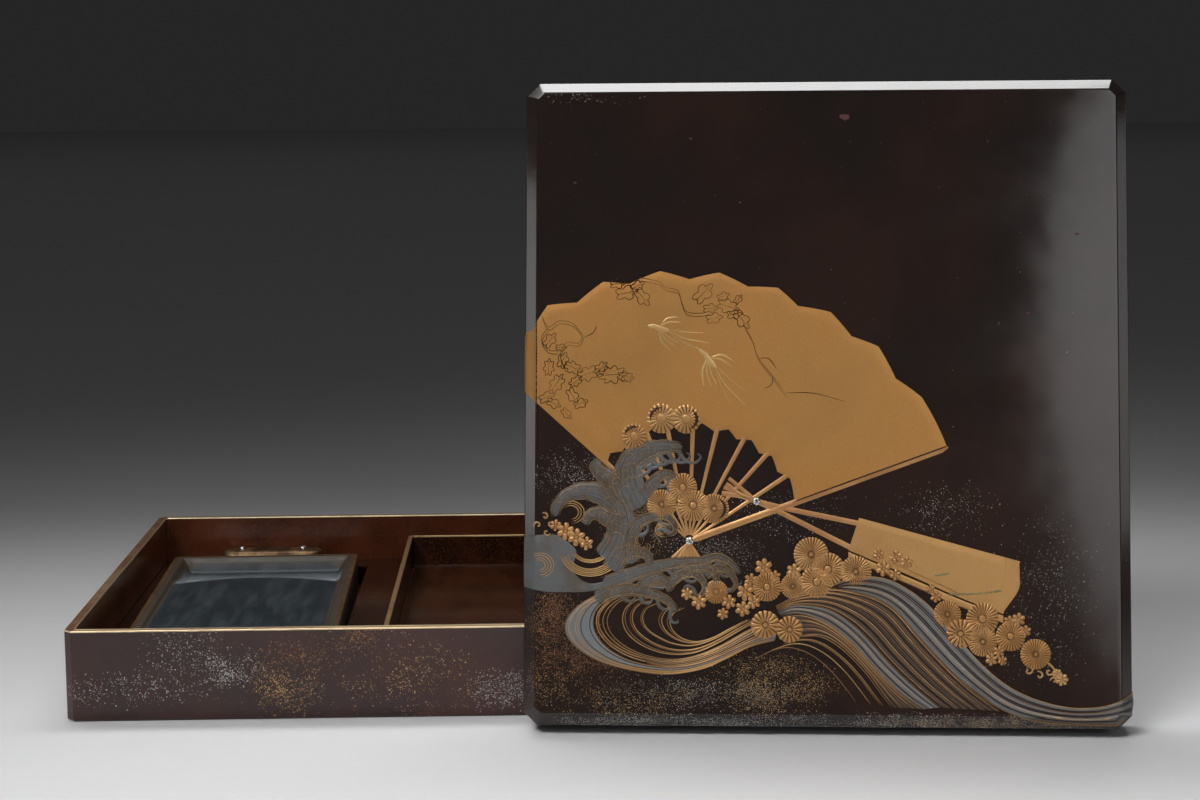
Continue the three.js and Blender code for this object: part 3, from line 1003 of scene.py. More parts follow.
@dataclass
class OpenBox:
    """The open box: walls with cut corners, a gilded rim and sprinkled clouds on the outside."""

    width: float = 221.0
    depth: float = 238.0
    height: float = 36.0
    wall: float = 3.8
    floor: float = 6.0
    corner_cut: float = 3.0
    foot_bevel: float = 0.8
    rim_soft: float = 0.45
    gilding: float = 0.05
    lining_thick: float = 0.06
    lining_sunk: float = 0.3
    lining_gap: float = 0.5
    cloud_depth: float = 14.0

    def outline(self) -> CutRectangle:
        """The box's outside in plan."""
        return CutRectangle(self.width / 2, self.depth / 2, self.corner_cut, soft=0.3)

    def front_cloud(self, camera: Camera, pixel: Pair, reach: Pair, share: float, metal: Metal) -> Cloud:
        """A sprinkled cloud on the front wall, where the photograph shows it."""
        x, y, z = camera.meets(pixel, (0.0, -self.depth / 2, 0.0), (0.0, 1.0, 0.0))
        return Cloud((x, y, z), (reach[0], self.cloud_depth, reach[1]), share, metal)

    def clouds(self, camera: Camera) -> tuple[Cloud, ...]:
        """The clouds of the front wall, and like ones on the walls that the photograph hides.

        Args:
            camera: the photograph's camera.

        Returns:
            All clouds.
        """
        front = (
            ((224, 668), (20, 11), 0.80, Metal.SILVER),
            ((190, 650), (24, 18), 0.26, Metal.SILVER),
            ((130, 690), (44, 10), 0.34, Metal.SILVER),
            ((286, 690), (20, 13), 0.60, Metal.GOLD),
            ((300, 660), (28, 12), 0.30, Metal.RED_GOLD),
            ((355, 638), (26, 10), 0.42, Metal.RED_GOLD),
            ((410, 675), (42, 22), 0.20, Metal.GOLD),
            ((508, 690), (22, 13), 0.55, Metal.SILVER),
        )
        made = [self.front_cloud(camera, *row) for row in front]
        x, y = self.width / 2, self.depth / 2
        made += [
            Cloud((-x, -52.0, 12.0), (14.0, 34.0, 14.0), 0.60, Metal.SILVER),
            Cloud((-x, 30.0, 20.0), (14.0, 44.0, 14.0), 0.50, Metal.GOLD),
            Cloud((x, -20.0, 14.0), (14.0, 52.0, 15.0), 0.50, Metal.GOLD),
            Cloud((x, 62.0, 22.0), (14.0, 30.0, 12.0), 0.60, Metal.SILVER),
            Cloud((-44.0, y, 14.0), (44.0, 14.0, 13.0), 0.55, Metal.GOLD),
            Cloud((46.0, y, 20.0), (34.0, 14.0, 13.0), 0.60, Metal.SILVER),
        ]
        return tuple(made)

    def shell(self) -> Skin:
        """The wall's profile carried round the outline, closed under the box; it ends at the gilded rim.

        Returns:
            The piece's surface.
        """
        top, wall = self.height, self.wall
        profile = softened(
            [(self.foot_bevel + 1, 0), (self.foot_bevel, 0), (0, self.foot_bevel), (0, top), (wall, top),
             (wall, self.floor), (wall + 2, self.floor)],
            [0.2, 0.3, self.rim_soft, self.rim_soft, 1.4],
        )
        keep = profile[:, 0] < wall + 1.9
        return capped(self.outline().rings(profile[keep][1:]), 0.0, self.floor)

    def lining(self) -> Skin:
        """A thin skin of sprinkled lacquer over the inner walls and floor, closed on its hidden side.

        Returns:
            The piece's surface.
        """
        top = self.height - self.lining_gap
        past = self.wall + 3
        runs = []
        for out in (-self.lining_sunk, self.lining_thick):
            side, bed = self.wall + out, self.floor + out
            run = softened([(side, top), (side, bed), (past, bed)], [1.4])
            runs.append(run[run[:, 0] < past - 0.4])
        rings = self.outline().rings(np.concatenate([runs[0][::-1], runs[1]]))
        return capped(rings, self.floor - self.lining_sunk, self.floor + self.lining_thick)

    def rim(self) -> Skin:
        """The gilding over the rim: a thin cap on the wall's softened top, sunk into it below.

        Returns:
            The piece's surface.
        """
        drops = (0.62, 0.9, 0.85, 0.6)
        skin = rim_cap(self.outline(), self.height, self.wall, self.gilding, self.rim_soft, drops, 0.5)
        # the flat tops of the left and right rims carry the dull mark, so their gilding is painted darker as
        # painted shade; the front and back rims keep the pale gold
        side = np.clip((np.abs(skin.points[:, 0]) - self.width / 2 + self.wall + 1.0) / 0.6, 0, 1)
        flat = np.clip((skin.points[:, 2] - self.height) / self.gilding + 0.2, 0, 1)
        return skin.marked("dull", side * flat)

    def build(self, camera: Camera) -> None:
        """Makes the body, its lining and its gilded rim.

        Args:
            camera: the photograph's camera.
        """
        body = DarkLacquer(
            "body_lacquer", self.clouds(camera), lacquer=(0.024, 0.0085, 0.0062), warm=(0.046, 0.013, 0.0085),
            haze=0.2, fine=1.35,
        )
        piece("body_shell", self.shell(), body.build(), "dark_lacquer", "box_body")
        # the lining's lacquer is several times brighter than the board's: painted light that lifts the inner
        # walls, which the lamps leave in shade
        inside = SprinkledLacquer("inner_lacquer_painted_light", (0.135, 0.035, 0.017), (0.058, 0.016, 0.008), 0.36)
        piece("body_lining", self.lining(), inside.build(), "red_brown_lacquer")
        rim = Gilding("rim_gilding", (0.90, 0.70, 0.44), (0.28, 0.13, 0.050), wear=0.28, rough=0.36)
        piece("body_rim_gilding", self.rim(), rim.build(), "gold")


@dataclass
class BrushTray:
    """The lift-out tray at the right, with thin gilded walls."""

    left: float = 120.5
    height: float = 17.3
    wall: float = 2.0
    floor: float = 2.5
    corner_cut: float = 1.5
    clearance: float = 0.8
    gilding: float = 0.04
    rim_soft: float = 0.35
    runner: float = 3.0
    runner_width: float = 8.0
    runner_inset: float = 22.0

    def outline(self, box: OpenBox) -> tuple[CutRectangle, float]:
        """The tray's outside in plan and the middle of its width.

        Args:
            box: the box that holds the tray.

        Returns:
            The outline and that middle.
        """
        left = self.left - box.width / 2
        right = box.width / 2 - box.wall - self.clearance
        half_depth = box.depth / 2 - box.wall - self.clearance
        return CutRectangle((right - left) / 2, half_depth, self.corner_cut, soft=0.2), (left + right) / 2

    def build(self, box: OpenBox) -> None:
        """Makes the tray with its runners, and the gilding on its rim.

        Args:
            box: the box that holds the tray.
        """
        outline, middle = self.outline(box)
        under = box.floor + self.runner
        top = under + self.height
        bed = under + self.floor
        wall = self.wall
        profile = softened(
            [(1.2, under), (0, under), (0, top), (wall, top), (wall, bed), (wall + 1.6, bed)],
            [0.3, self.rim_soft, self.rim_soft, 1.0],
        )
        keep = profile[:, 0] < wall + 1.5
        dish = capped(outline.rings(profile[keep][1:]), under, bed)
        bars = []
        for side in (-1, 1):
            bar = CutRectangle(outline.half_width - 1.5, self.runner_width / 2, 0.6, soft=0.15)
            run = np.array([(0.0, box.floor), (0.0, under + 0.4)])
            y = side * (outline.half_depth - self.runner_inset)
            bars.append(capped(bar.rings(run), box.floor, under + 0.4).moved(shifted(y=y)))
        whole = joined([dish, *bars]).moved(shifted(x=middle))
        # the tray's lacquer is about twice as bright as the board's: painted light that lifts its walls,
        # which the lamps leave in shade
        finish = SprinkledLacquer("tray_lacquer_painted_light", (0.052, 0.0150, 0.0070), share=0.30)
        piece("brush_tray_dish", whole, finish.build(), "red_brown_lacquer", "brush_tray")
        cap = rim_cap(outline, top, wall, self.gilding, self.rim_soft, (0.6, 0.7, 0.6, 0.5), 0.4)
        # the tray's left and right rims carry the dull mark, which paints their gilding darker as painted
        # shade
        side = np.clip((np.abs(cap.points[:, 0]) - outline.half_width + wall + 0.8) / 0.5, 0, 1)
        cap = cap.marked("dull", 0.85 * side).moved(shifted(x=middle))
        rim = Gilding("tray_rim_gilding", Metal.PALE_GOLD.value, (0.13, 0.055, 0.022), wear=0.47, rough=0.4)
        piece("brush_tray_rim_gilding", cap, rim.build(), "gold")


@dataclass
class Inkstone:
    """The slate block: a dull gilded rim, a flat grinding face, and a pool behind a bowed shore."""

    width: float = 86.5
    length: float = 152.0
    height: float = 15.5
    turn: float = 1.2
    corner: float = 3.0
    rim: float = 4.2
    bank: float = 1.6
    land_drop: float = 1.3
    pool_drop: float = 6.6
    pool_length: float = 56.0
    shore_bulge: float = 14.0
    far_bank: float = 6.0
    side_bank: float = 4.8
    band_width: float = 1.9
    band_round: float = 9.0
    place: Triple = (-54.768, 18.611, 6.0)
    gilding: float = 0.05
    around: int = 60

    def drop(self, x: np.ndarray, y: np.ndarray) -> tuple[np.ndarray, np.ndarray]:
        """How far the top lies below the rim, and how far a point is down into the pool.

        A bank steps down from the rim to the grinding face. Behind the shore, an arc, the ground falls
        smoothly to the pool's floor, and slopes rise again at the pool's sides and end.

        Args:
            x: distance from the stone's middle line.
            y: distance from its middle towards the pool.

        Returns:
            The drop, and the pool's share from 0 on the grinding face to 1 on the pool's floor.
        """
        from_side = self.width / 2 - self.rim - np.abs(x)
        from_end = self.length / 2 - self.rim - np.abs(y)
        from_rim = np.minimum(from_side, from_end)
        across = x / (self.width / 2 - self.rim)
        far = self.length / 2 - self.rim
        shore = far - self.pool_length + self.shore_bulge * (1 - across**2)
        down = smooth_step((y - shore) / (0.5 * (far - shore)))
        walls = smooth_step(from_side / self.side_bank) * smooth_step(from_end / self.far_bank)
        pool = down * walls
        step = smooth_step(from_rim / self.bank) * self.land_drop
        return step + (self.pool_drop - self.land_drop) * pool, np.where(from_rim > 0, down, 0.0)

    def loop(self, inset: np.ndarray) -> np.ndarray:
        """Round-cornered outlines: each corner's arc keeps its middle, and its radius shrinks with the inset.

        Args:
            inset: how far inwards, one value for each loop.

        Returns:
            Array of loops, points and two coordinates.
        """
        radius = np.maximum(self.corner - inset, 0.4)[:, None, None]
        half = np.stack([self.width / 2 - inset, self.length / 2 - inset], axis=-1)[:, None]
        angle = np.linspace(0, math.pi / 2, 7)
        along = np.linspace(0, 1, self.around + 2)[1:-1, None]
        parts = []
        ends = []
        for k, (sx, sy) in enumerate(((1, 1), (-1, 1), (-1, -1), (1, -1))):
            ends.append((half - radius) * np.array([sx, sy]) + radius * compass(angle + k * math.pi / 2))
        for k, arc in enumerate(ends):
            start, end = arc[:, -1:], ends[(k + 1) % 4][:, :1]
            parts += [arc, start * (1 - along) + end * along]
        return np.concatenate(parts, axis=1)

    def stand(self, points: np.ndarray) -> np.ndarray:
        """Places points of the stone where it lies, a little askew.

        Args:
            points: points of the stone at the origin.

        Returns:
            The placed points.
        """
        c, s = math.cos(math.radians(self.turn)), math.sin(math.radians(self.turn))
        turn = np.array([[c, -s, 0], [s, c, 0], [0, 0, 1]])
        return points @ turn.T + np.array(self.place)

    def top_ring(self, flat: np.ndarray, lift: float = 0.0) -> np.ndarray:
        """Raises loops to the stone's top."""
        depth, _ = self.drop(flat[..., 0], flat[..., 1])
        return np.concatenate([flat, (self.height - depth + lift)[..., None]], axis=-1)

    def block(self) -> Skin:
        """The side's profile round the outline, then the top as loops that shrink to the middle.

        The rim is flat, its edges are rounded, and inside it the loops are scaled towards the middle and
        raised by the drop's formula.

        Returns:
            The piece's surface.
        """
        side = softened([(0.8, 0), (0, 0), (0, self.height), (self.rim, self.height)], [0.3, 0.7])[1:-1]
        walls = raised(self.loop(side[:, 0]), side[:, 1])
        inset = np.concatenate([np.linspace(1.2, self.rim, 6), self.rim + np.linspace(0.2, self.bank, 7)])
        slope = self.top_ring(self.loop(inset))
        last = self.loop(inset[-1:])
        scale = np.linspace(1, 0, 70)[1:-1, None, None]
        inner = self.top_ring(last * scale)
        rings = np.concatenate([walls, slope, inner])
        middle = self.top_ring(np.zeros((1, 1, 2)))[0, 0]
        skin = vessel(rings, np.array([0, 0, 0.0]), middle)
        _, pool = self.drop(skin.points[:, 0], skin.points[:, 1])
        far = self.length / 2 - self.rim
        back = np.clip((far - skin.points[:, 1]) / (self.pool_length - self.shore_bulge), 0, 1)
        chalk = np.clip(3 * pool, 0, 1) * np.clip((back - 0.15) / 0.6, 0, 1)
        below = skin.points[:, 2] < self.height - 0.9
        skin = skin.marked("chalk", np.where(below, chalk, 0.0))
        return skin.marked("band", self.band(skin.points)).moved(self.stand)

    def band(self, points: np.ndarray) -> np.ndarray:
        """Share of the brown band: full on the rim and its bank, gone a little inside.

        The distance inside the rim is measured to a rounded corner where both sides are near.

        Args:
            points: points of the stone, one to a row.

        Returns:
            The share at each point.
        """
        side = self.width / 2 - self.rim - np.abs(points[:, 0])
        end = self.length / 2 - self.rim - np.abs(points[:, 1])
        r = self.band_round
        corner = r - np.hypot(np.maximum(r - side, 0), np.maximum(r - end, 0))
        inside = np.where((side < r) & (end < r), corner, np.minimum(side, end))
        on_top = points[:, 2] > 0.4 * self.height
        return np.where(on_top, 1 - smooth_step((inside - self.band_width) / 0.9), 0.0)

    def rim_band(self) -> Skin:
        """The dull gilded lacquer on the rim: a thin flat hoop with rounded edges.

        Returns:
            The piece's surface.
        """
        t, h = self.gilding, self.height
        edge = self.rim + 0.25
        corners = [(-t, h - 2.2), (-t, h + t), (edge, h + t - 0.12), (edge + 0.25, h - 0.5)]
        over = softened(corners, [0.7, 0.2])
        under = np.array([(self.rim - 0.6, h - 0.7), (0.7, h - 1.9)])
        run = np.concatenate([over, under])
        return hoop(raised(self.loop(run[:, 0]), run[:, 1])).moved(self.stand)

    def build(self) -> None:
        """Makes the stone and the band on its rim."""
        piece("inkstone_block", self.block(), Slate().build(), "slate", "inkstone")
        band = Gilding("stone_rim_gilding", (0.26, 0.145, 0.060), (0.050, 0.026, 0.016), wear=0.5, rough=0.42)
        piece("inkstone_rim_band", self.rim_band(), band.build(), "gold")


@dataclass
class WaterDropper:
    """The bronze vessel: round ends, a rounded shoulder, a flat top with two holes in silver eyelets."""

    length: float = 49.0
    width: float = 13.6
    height: float = 16.3
    shoulder: float = 3.4
    hole_radius: float = 1.0
    hole_spacing: float = 29.0
    hole_depth: float = 4.0
    eyelet_wall: float = 0.8
    eyelet_height: float = 1.1
    place: Triple = (-54.768, 105.2, 6.0)
    arc_steps: int = 20
    across_steps: int = 5

    def loop(self, inset: np.ndarray) -> np.ndarray:
        """Round-ended outlines from the lower end of the middle line round the right end, then the left.

        Each loop has two half circles whose middles stay put while their radius shrinks by the inset.

        Args:
            inset: the inset of each loop.

        Returns:
            Loops, points and plan coordinates.
        """
        radius = (self.width / 2 - inset)[:, None]
        straight = self.length / 2 - self.width / 2
        angle = np.linspace(-math.pi / 2, math.pi / 2, self.arc_steps + 1)[None]
        right = np.stack([straight + radius * np.cos(angle), radius * np.sin(angle)], axis=-1)
        low = np.stack([np.zeros_like(radius), -radius], axis=-1)
        high = np.stack([np.zeros_like(radius), radius], axis=-1)
        left = right[:, ::-1] * np.array([-1, 1])
        return np.concatenate([low, right, high, left], axis=1)

    def top_half(self, border: np.ndarray, z: float, side: int) -> Skin:
        """Half of the flat top: straight lines from the border to the hole's edge, then down the hole.

        Args:
            border: closed outline of the half, anticlockwise.
            z: height of the top.
            side: 1 for the right half, -1 for the left.

        Returns:
            An open sheet that closes the hole's foot with one point.
        """
        centre = np.array([side * self.hole_spacing / 2, 0.0])
        out = border - centre
        edge = out / np.linalg.norm(out, axis=1, keepdims=True)
        share = np.linspace(0, 1, self.across_steps + 1)[:, None, None] ** 0.8
        flat = centre + out[None] * (1 - share) + edge[None] * self.hole_radius * share
        sheet = raised(flat, np.full(len(flat), z))
        down = sheet[-1:] - np.array([0, 0, 1.0]) * np.array([0.15, 1.5, self.hole_depth])[:, None, None]
        rings = np.concatenate([sheet, down])
        count, around = rings.shape[:2]
        foot = np.array([[centre[0], 0.0, z - self.hole_depth]])
        points = np.concatenate([rings.reshape(-1, 3), foot])
        tris = closing_fan((count - 1) * around, around, count * around)
        # the hole mark covers the hole's wall and foot, which the bronze finish paints near black as painted
        # shade
        hole = np.concatenate([np.repeat(np.arange(count) > self.across_steps + 1, around), [True]])
        return Skin(points, grid_faces(count, around, wrap_columns=True), tris, {"hole": hole.astype(float)})

    def vessel(self) -> Skin:
        """The shoulder's quarter curve round the outline, and the two halves of the top welded to it.

        Returns:
            The piece's surface.
        """
        turn = np.linspace(0, math.pi / 2, 7)
        inwards = self.shoulder * (1 - np.cos(turn))
        up = self.height - self.shoulder * (1 - np.sin(turn))
        inset = np.concatenate([[0.5, 0.15, 0.0, 0.0], inwards, [self.shoulder + 0.3]])
        z = np.concatenate([[0.0, 0.1, 0.5, 6.0], up, [self.height]])
        rings = raised(self.loop(inset), z)
        count, around = rings.shape[:2]
        points = np.concatenate([rings.reshape(-1, 3), [[0.0, 0.0, 0.0]]])
        foot = closing_fan(0, around, count * around)[:, [1, 0, 2]]
        solid = {"hole": np.zeros(len(points))}
        side = Skin(points, grid_faces(count, around, wrap_columns=True), foot, solid)
        top = rings[-1, :, :2]
        middle = np.linspace(top[around // 2], top[0], 9)[1:-1]
        half = around // 2 + 1
        right = np.concatenate([top[:half], middle])
        left = np.concatenate([top[half - 1:], top[:1], middle[::-1]])
        parts = [side, self.top_half(right, self.height, 1), self.top_half(left, self.height, -1)]
        return joined(parts).moved(shifted(*self.place))

    def eyelet(self, side: int) -> Skin:
        """A small ring whose rounded profile is carried round the hole.

        Args:
            side: -1 for the left hole, 1 for the right one.

        Returns:
            The piece's surface.
        """
        outer = self.hole_radius + self.eyelet_wall
        run = softened(
            [(outer, -0.2), (outer, 0.35), (outer - 0.28, self.eyelet_height), (self.hole_radius, 1.0),
             (self.hole_radius - 0.1, -0.2)],
            [0.12, 0.22, 0.15], steps=3,
        )
        angle = np.linspace(0, 2 * math.pi, 37)[:-1]
        rings = raised(run[:, 0, None, None] * compass(angle)[None], run[:, 1])
        x, y, z = self.place
        return hoop(rings).moved(shifted(x + side * self.hole_spacing / 2, y, z + self.height))

    def build(self) -> None:
        """Makes the vessel and its two eyelets."""
        made = piece("water_dropper_vessel", self.vessel(), AgedBronze().build(), "bronze", "water_dropper")
        welded(made)
        silver = Silver().build()
        for side, word in ((-1, "left"), (1, "right")):
            piece(f"silver_eyelet_{word}", self.eyelet(side), silver, "silver", f"dropper_eyelet_{word}")


def welded(made: bpy.types.Object) -> None:
    """Merges points that lie in one place and turns all faces outwards.

    Args:
        made: the piece.
    """
    work = bmesh.new()
    work.from_mesh(made.data)
    bmesh.ops.remove_doubles(work, verts=work.verts, dist=1e-6)
    bmesh.ops.recalc_face_normals(work, faces=work.faces)
    work.to_mesh(made.data)
    work.free()
    made.data.set_sharp_from_angle(angle=math.radians(40.0))


@dataclass
class Lid:
    """The lid, standing on its rim and leaning on the box: bevelled edge, swelling face, hollow back."""

    wall: float = 3.0
    clearance: float = 0.5
    depth: float = 24.0
    plate: float = 4.0
    bevel: float = 4.5
    crown: float = 1.6
    lean: float = 11.5
    turn: float = -4.5
    overlap: float = 40.5
    rest_gap: float = 0.3
    box: OpenBox = field(default_factory=OpenBox)

    def outline(self) -> CutRectangle:
        """The lid's outside in plan.

        Returns:
            The outline.
        """
        grow = self.wall + self.clearance
        return CutRectangle(
            self.box.width / 2 + grow, self.box.depth / 2 + grow, self.box.corner_cut + CUT_GROWTH * grow,
            soft=0.35, side_steps=20,
        )

    def face_half(self) -> Pair:
        """Half the width and depth of the flat face inside the bevel."""
        o = self.outline()
        return o.half_width - self.bevel, o.half_depth - self.bevel

    def swell(self, x: np.ndarray, y: np.ndarray, inset: float, base: float) -> np.ndarray:
        """Height of a face that swells by the crown at its middle and by nothing along its edge.

        Args:
            x: plan coordinate.
            y: plan coordinate.
            inset: how far inside the wall its edge lies.
            base: height of its edge.

        Returns:
            The heights.
        """
        o = self.outline()
        across = np.clip(x / (o.half_width - inset), -1, 1)
        along = np.clip(y / (o.half_depth - inset), -1, 1)
        return base + self.crown * (1 - across**2) * (1 - along**2)

    def stand(self, points: np.ndarray) -> np.ndarray:
        """Places points of the lid as it lies on the box where the leaning lid has them.

        Args:
            points: points of the lying lid.

        Returns:
            The placed points.
        """
        lean, turn = math.radians(self.lean), math.radians(self.turn)
        o = self.outline()
        rise = o.half_depth
        up_rim = self.box.height / math.cos(lean) - rise
        back = up_rim * math.sin(lean) * math.cos(turn) - o.half_width * math.sin(turn)
        spot = np.array([
            self.box.width / 2 - self.overlap + o.half_width,
            -self.box.depth / 2 - self.rest_gap - back,
            rise * math.cos(lean),
        ])
        facing = Matrix.Rotation(turn, 3, "Z") @ Matrix.Rotation(math.pi / 2 - lean, 3, "X")
        return points @ np.array(facing).T + spot

    def shell(self) -> Skin:
        """Profile of rim, wall and bevel round the outline, then swelling loops to the face's middle.

        Returns:
            The piece's surface.
        """
        edge = self.depth - self.bevel
        ceiling = self.depth - self.plate
        profile = softened(
            [(self.wall, ceiling), (self.wall, 0), (0, 0), (0, edge), (self.bevel, self.depth),
             (self.bevel + 1.2, self.depth + 0.03)],
            [0.5, 0.5, 0.45, 0.35],
        )
        walls = self.outline().rings(profile)
        ins = self.shrunk(self.wall, ceiling)
        outs = self.shrunk(self.bevel, self.depth)
        rings = np.concatenate([ins[::-1], walls[1:-1], outs[1:]])
        start = np.array([0, 0, ceiling + self.crown])
        end = np.array([0, 0, self.depth + self.crown])
        skin = vessel(rings, start, end)
        return skin.marked("place", skin.points * MM)

    def shrunk(self, inset: float, base: float) -> np.ndarray:
        """Loops that shrink from an inset outline to the middle, raised by the swell.

        Args:
            inset: how far inside the wall the first loop lies.
            base: height of its edge.

        Returns:
            Loops from the edge inwards.
        """
        scale = 1 - np.concatenate([[0.0, 0.018], np.linspace(0.05, 0.97, 21)])
        flat = self.outline().loops(inset) * scale[:, None, None]
        z = self.swell(flat[..., 0], flat[..., 1], inset, base)
        return np.concatenate([flat, z[..., None]], axis=-1)

    def build(self, clouds: tuple[Cloud, ...], chips: Chips) -> None:
        """Makes the lid's shell, its lacquer sprinkled and chipped where it is told.

        Args:
            clouds: sprinkled clouds.
            chips: chips and pits.
        """
        skin = self.shell()
        standing = skin.moved(self.stand)
        lacquer = DarkLacquer(
            "lid_lacquer", clouds, chips, True, (0.019, 0.0135, 0.0118), (0.030, 0.0165, 0.0128), 0.08, 2.1
        )
        piece("lid_shell", standing, lacquer.build(), "dark_lacquer", "lid", sharp=38.0)


# The picture on the lid


def curve(guides: Sequence[Pair], count: int) -> np.ndarray:
    """A smooth line through guide points, evenly stepped.

    Between two guides the line is the cubic whose slope at each is half the step between its neighbours.

    Args:
        guides: the points, in pixels of the photograph.
        count: points of the line.

    Returns:
        Array of points and two coordinates.
    """
    given = np.array(guides, float)
    padded = np.concatenate([2 * given[:1] - given[1:2], given, 2 * given[-1:] - given[-2:-1]])
    at = np.linspace(0, len(given) - 1, 24 * len(given))
    k = np.minimum(at.astype(int), len(given) - 2)
    t = (at - k)[:, None]
    a, b, c, d = (padded[k + j] for j in range(4))
    fine = 0.5 * (2 * b + (c - a) * t + (2 * a - 5 * b + 4 * c - d) * t**2 + (3 * b - a - 3 * c + d) * t**3)
    run = np.concatenate([[0], np.cumsum(np.linalg.norm(np.diff(fine, axis=0), axis=1))])
    even = np.linspace(0, run[-1], count)
    return np.stack([np.interp(even, run, fine[:, axis]) for axis in range(2)], axis=-1)


def polar(middle: Pair, radius: float | np.ndarray, angle: np.ndarray, tall: float = 1.0) -> np.ndarray:
    """Pixels at a distance and an angle in radians from a middle, on a ring that is as tall as is told."""
    x, y = middle
    return np.stack([x + radius * np.cos(angle), y - tall * radius * np.sin(angle)], axis=-1)


def directions(lines: np.ndarray) -> tuple[np.ndarray, np.ndarray]:
    """Ways ahead along lines and aside from them.

    Args:
        lines: lines whose last two axes are points and pixel coordinates.

    Returns:
        Both ways at each point, of length one.
    """
    ahead = np.gradient(lines, axis=-2)
    ahead /= np.maximum(np.linalg.norm(ahead, axis=-1, keepdims=True), 1e-9)
    return ahead, np.stack([-ahead[..., 1], ahead[..., 0]], axis=-1)


def between(low: np.ndarray, high: np.ndarray, shares: Sequence[float]) -> np.ndarray:
    """Lines between two lines of equal count, each point at a share of the way across."""
    share = np.array(shares, float)[:, None, None]
    return low[None] * (1 - share) + high[None] * share


@dataclass
class PicturePlane:
    """Sends pixels of the photograph to the lid: over its face, then the bevel, then down the wall."""

    lid: Lid
    top_left: Pair = (534.9, 97.5)
    top_right: Pair = (1115.4, 88)
    bottom_right: Pair = (1127.3, 721.5)
    bottom_left: Pair = (535.7, 719.2)

    def __post_init__(self) -> None:
        """Solves the projection that takes the four corners of the face from pixels to millimetres."""
        hx, hy = self.lid.face_half()
        seen = (self.top_left, self.top_right, self.bottom_right, self.bottom_left)
        real = ((-hx, hy), (hx, hy), (hx, -hy), (-hx, -hy))
        rows, right = [], []
        for (px, py), (x, y) in zip(seen, real):
            rows.append([px, py, 1, 0, 0, 0, -px * x, -py * x])
            rows.append([0, 0, 0, px, py, 1, -px * y, -py * y])
            right += [x, y]
        self.projection = np.append(np.linalg.solve(np.array(rows), np.array(right)), 1).reshape(3, 3)

    def plan(self, pixels: np.ndarray) -> np.ndarray:
        """Pixels to millimetres on the plane of the lid's face."""
        whole = np.concatenate([pixels, np.ones((*pixels.shape[:-1], 1))], axis=-1) @ self.projection.T
        return whole[..., :2] / whole[..., 2:]

    def drape(self, plan: np.ndarray, lift: np.ndarray | float) -> np.ndarray:
        """Lays a plan on the lid and raises it.

        Beyond the face's edge a point goes out and down the bevel together, and beyond the bevel straight
        down the wall. It is raised along the surface it lies on.

        Args:
            plan: array whose last axis is across and up the face, in millimetres.
            lift: how far above the lacquer.

        Returns:
            Points in the lid's own coordinates.
        """
        lid, o = self.lid, self.lid.outline()
        half = np.array(lid.face_half())
        over = np.maximum(np.abs(plan) - half, 0)
        side = np.minimum(over, lid.bevel)
        flat = np.sign(plan) * (np.minimum(np.abs(plan), half) + side)
        drop = side.max(axis=-1)
        limit = o.half_width + o.half_depth - o.cut - math.sqrt(2) * (lid.bevel - drop)
        excess = np.maximum(np.abs(flat).sum(axis=-1) - limit, 0)
        flat = flat - np.sign(flat) * 0.5 * excess[..., None]
        z = lid.swell(flat[..., 0], flat[..., 1], lid.bevel, lid.depth) - drop - (over - side).max(axis=-1)
        outward = np.where(over == over.max(axis=-1, keepdims=True), np.sign(plan), 0)
        slope = np.where(drop > 0, math.sqrt(0.5), 0)
        slope = np.where(over.max(axis=-1) > lid.bevel, 1, slope)
        rise = np.sqrt(1 - slope**2)
        normal = np.concatenate([outward * slope[..., None], rise[..., None]], axis=-1)
        raised = np.broadcast_to(np.asarray(lift, float), z.shape)[..., None] * normal
        return np.concatenate([flat, z[..., None]], axis=-1) + raised

    def place(self, pixels: np.ndarray, lift: np.ndarray | float) -> np.ndarray:
        """Pixels to points of the standing lid, raised above its lacquer."""
        lying = self.drape(self.plan(pixels), lift)
        return self.lid.stand(lying.reshape(-1, 3)).reshape(*pixels.shape[:-1], 3)

    def plates(self, flat: np.ndarray, rise: np.ndarray, tone: np.ndarray, under: float = BURIED) -> Skin:
        """Closed plates from just under the lacquer up to their rise.

        Args:
            flat: array of plates, rows, columns and pixel coordinates.
            rise: height above the lacquer, for each point or row of points.
            tone: mark for the finish, in the same way.
            under: where the undersides lie.

        Returns:
            The plates as one surface with their tone.
        """
        shape = flat.shape[:-1]
        top, bottom = (self.place(flat, np.broadcast_to(height, shape)) for height in (rise, under))
        return slabs(top, bottom).marked("tone", both_sides(np.broadcast_to(tone, shape)))

    def ribbons(
        self,
        lines: np.ndarray,
        width: float | np.ndarray,
        lift: float = 0.12,
        columns: int = 4,
        taper: float = 0.25,
        tone: float | np.ndarray = 0,
        base: float = 0,
    ) -> Skin:
        """Raised strips along lines: a rounded section carried along each line, thinner towards its ends.

        Args:
            lines: array of lines, points and pixel coordinates.
            width: full width in pixels, one number or one for each point of each line.
            lift: height of the middle above the lacquer.
            columns: points across a strip.
            taper: the share of the length over which each end thins.
            tone: mark for the finish, one number or one for each line.
            base: height of the ground that the strips lie on.

        Returns:
            The strips as one surface with their tone.
        """
        _, aside = directions(lines)
        share = np.linspace(0, 1, lines.shape[1])
        ends = np.clip(np.minimum(share, 1 - share) / max(taper, 1e-6), 0, 1)
        thin = 0.25 + 0.75 * np.sqrt(ends * (2 - ends))
        half = 0.5 * np.broadcast_to(width, lines.shape[:2]) * (thin if taper > 0 else 1)
        across = np.linspace(-1, 1, columns)
        flat = lines[:, :, None] + aside[:, :, None] * (half[..., None] * across)[..., None]
        rise = base + lift * np.sqrt(1 - 0.96 * across**2)
        return self.plates(flat, rise, np.reshape(tone, (-1, 1, 1)))

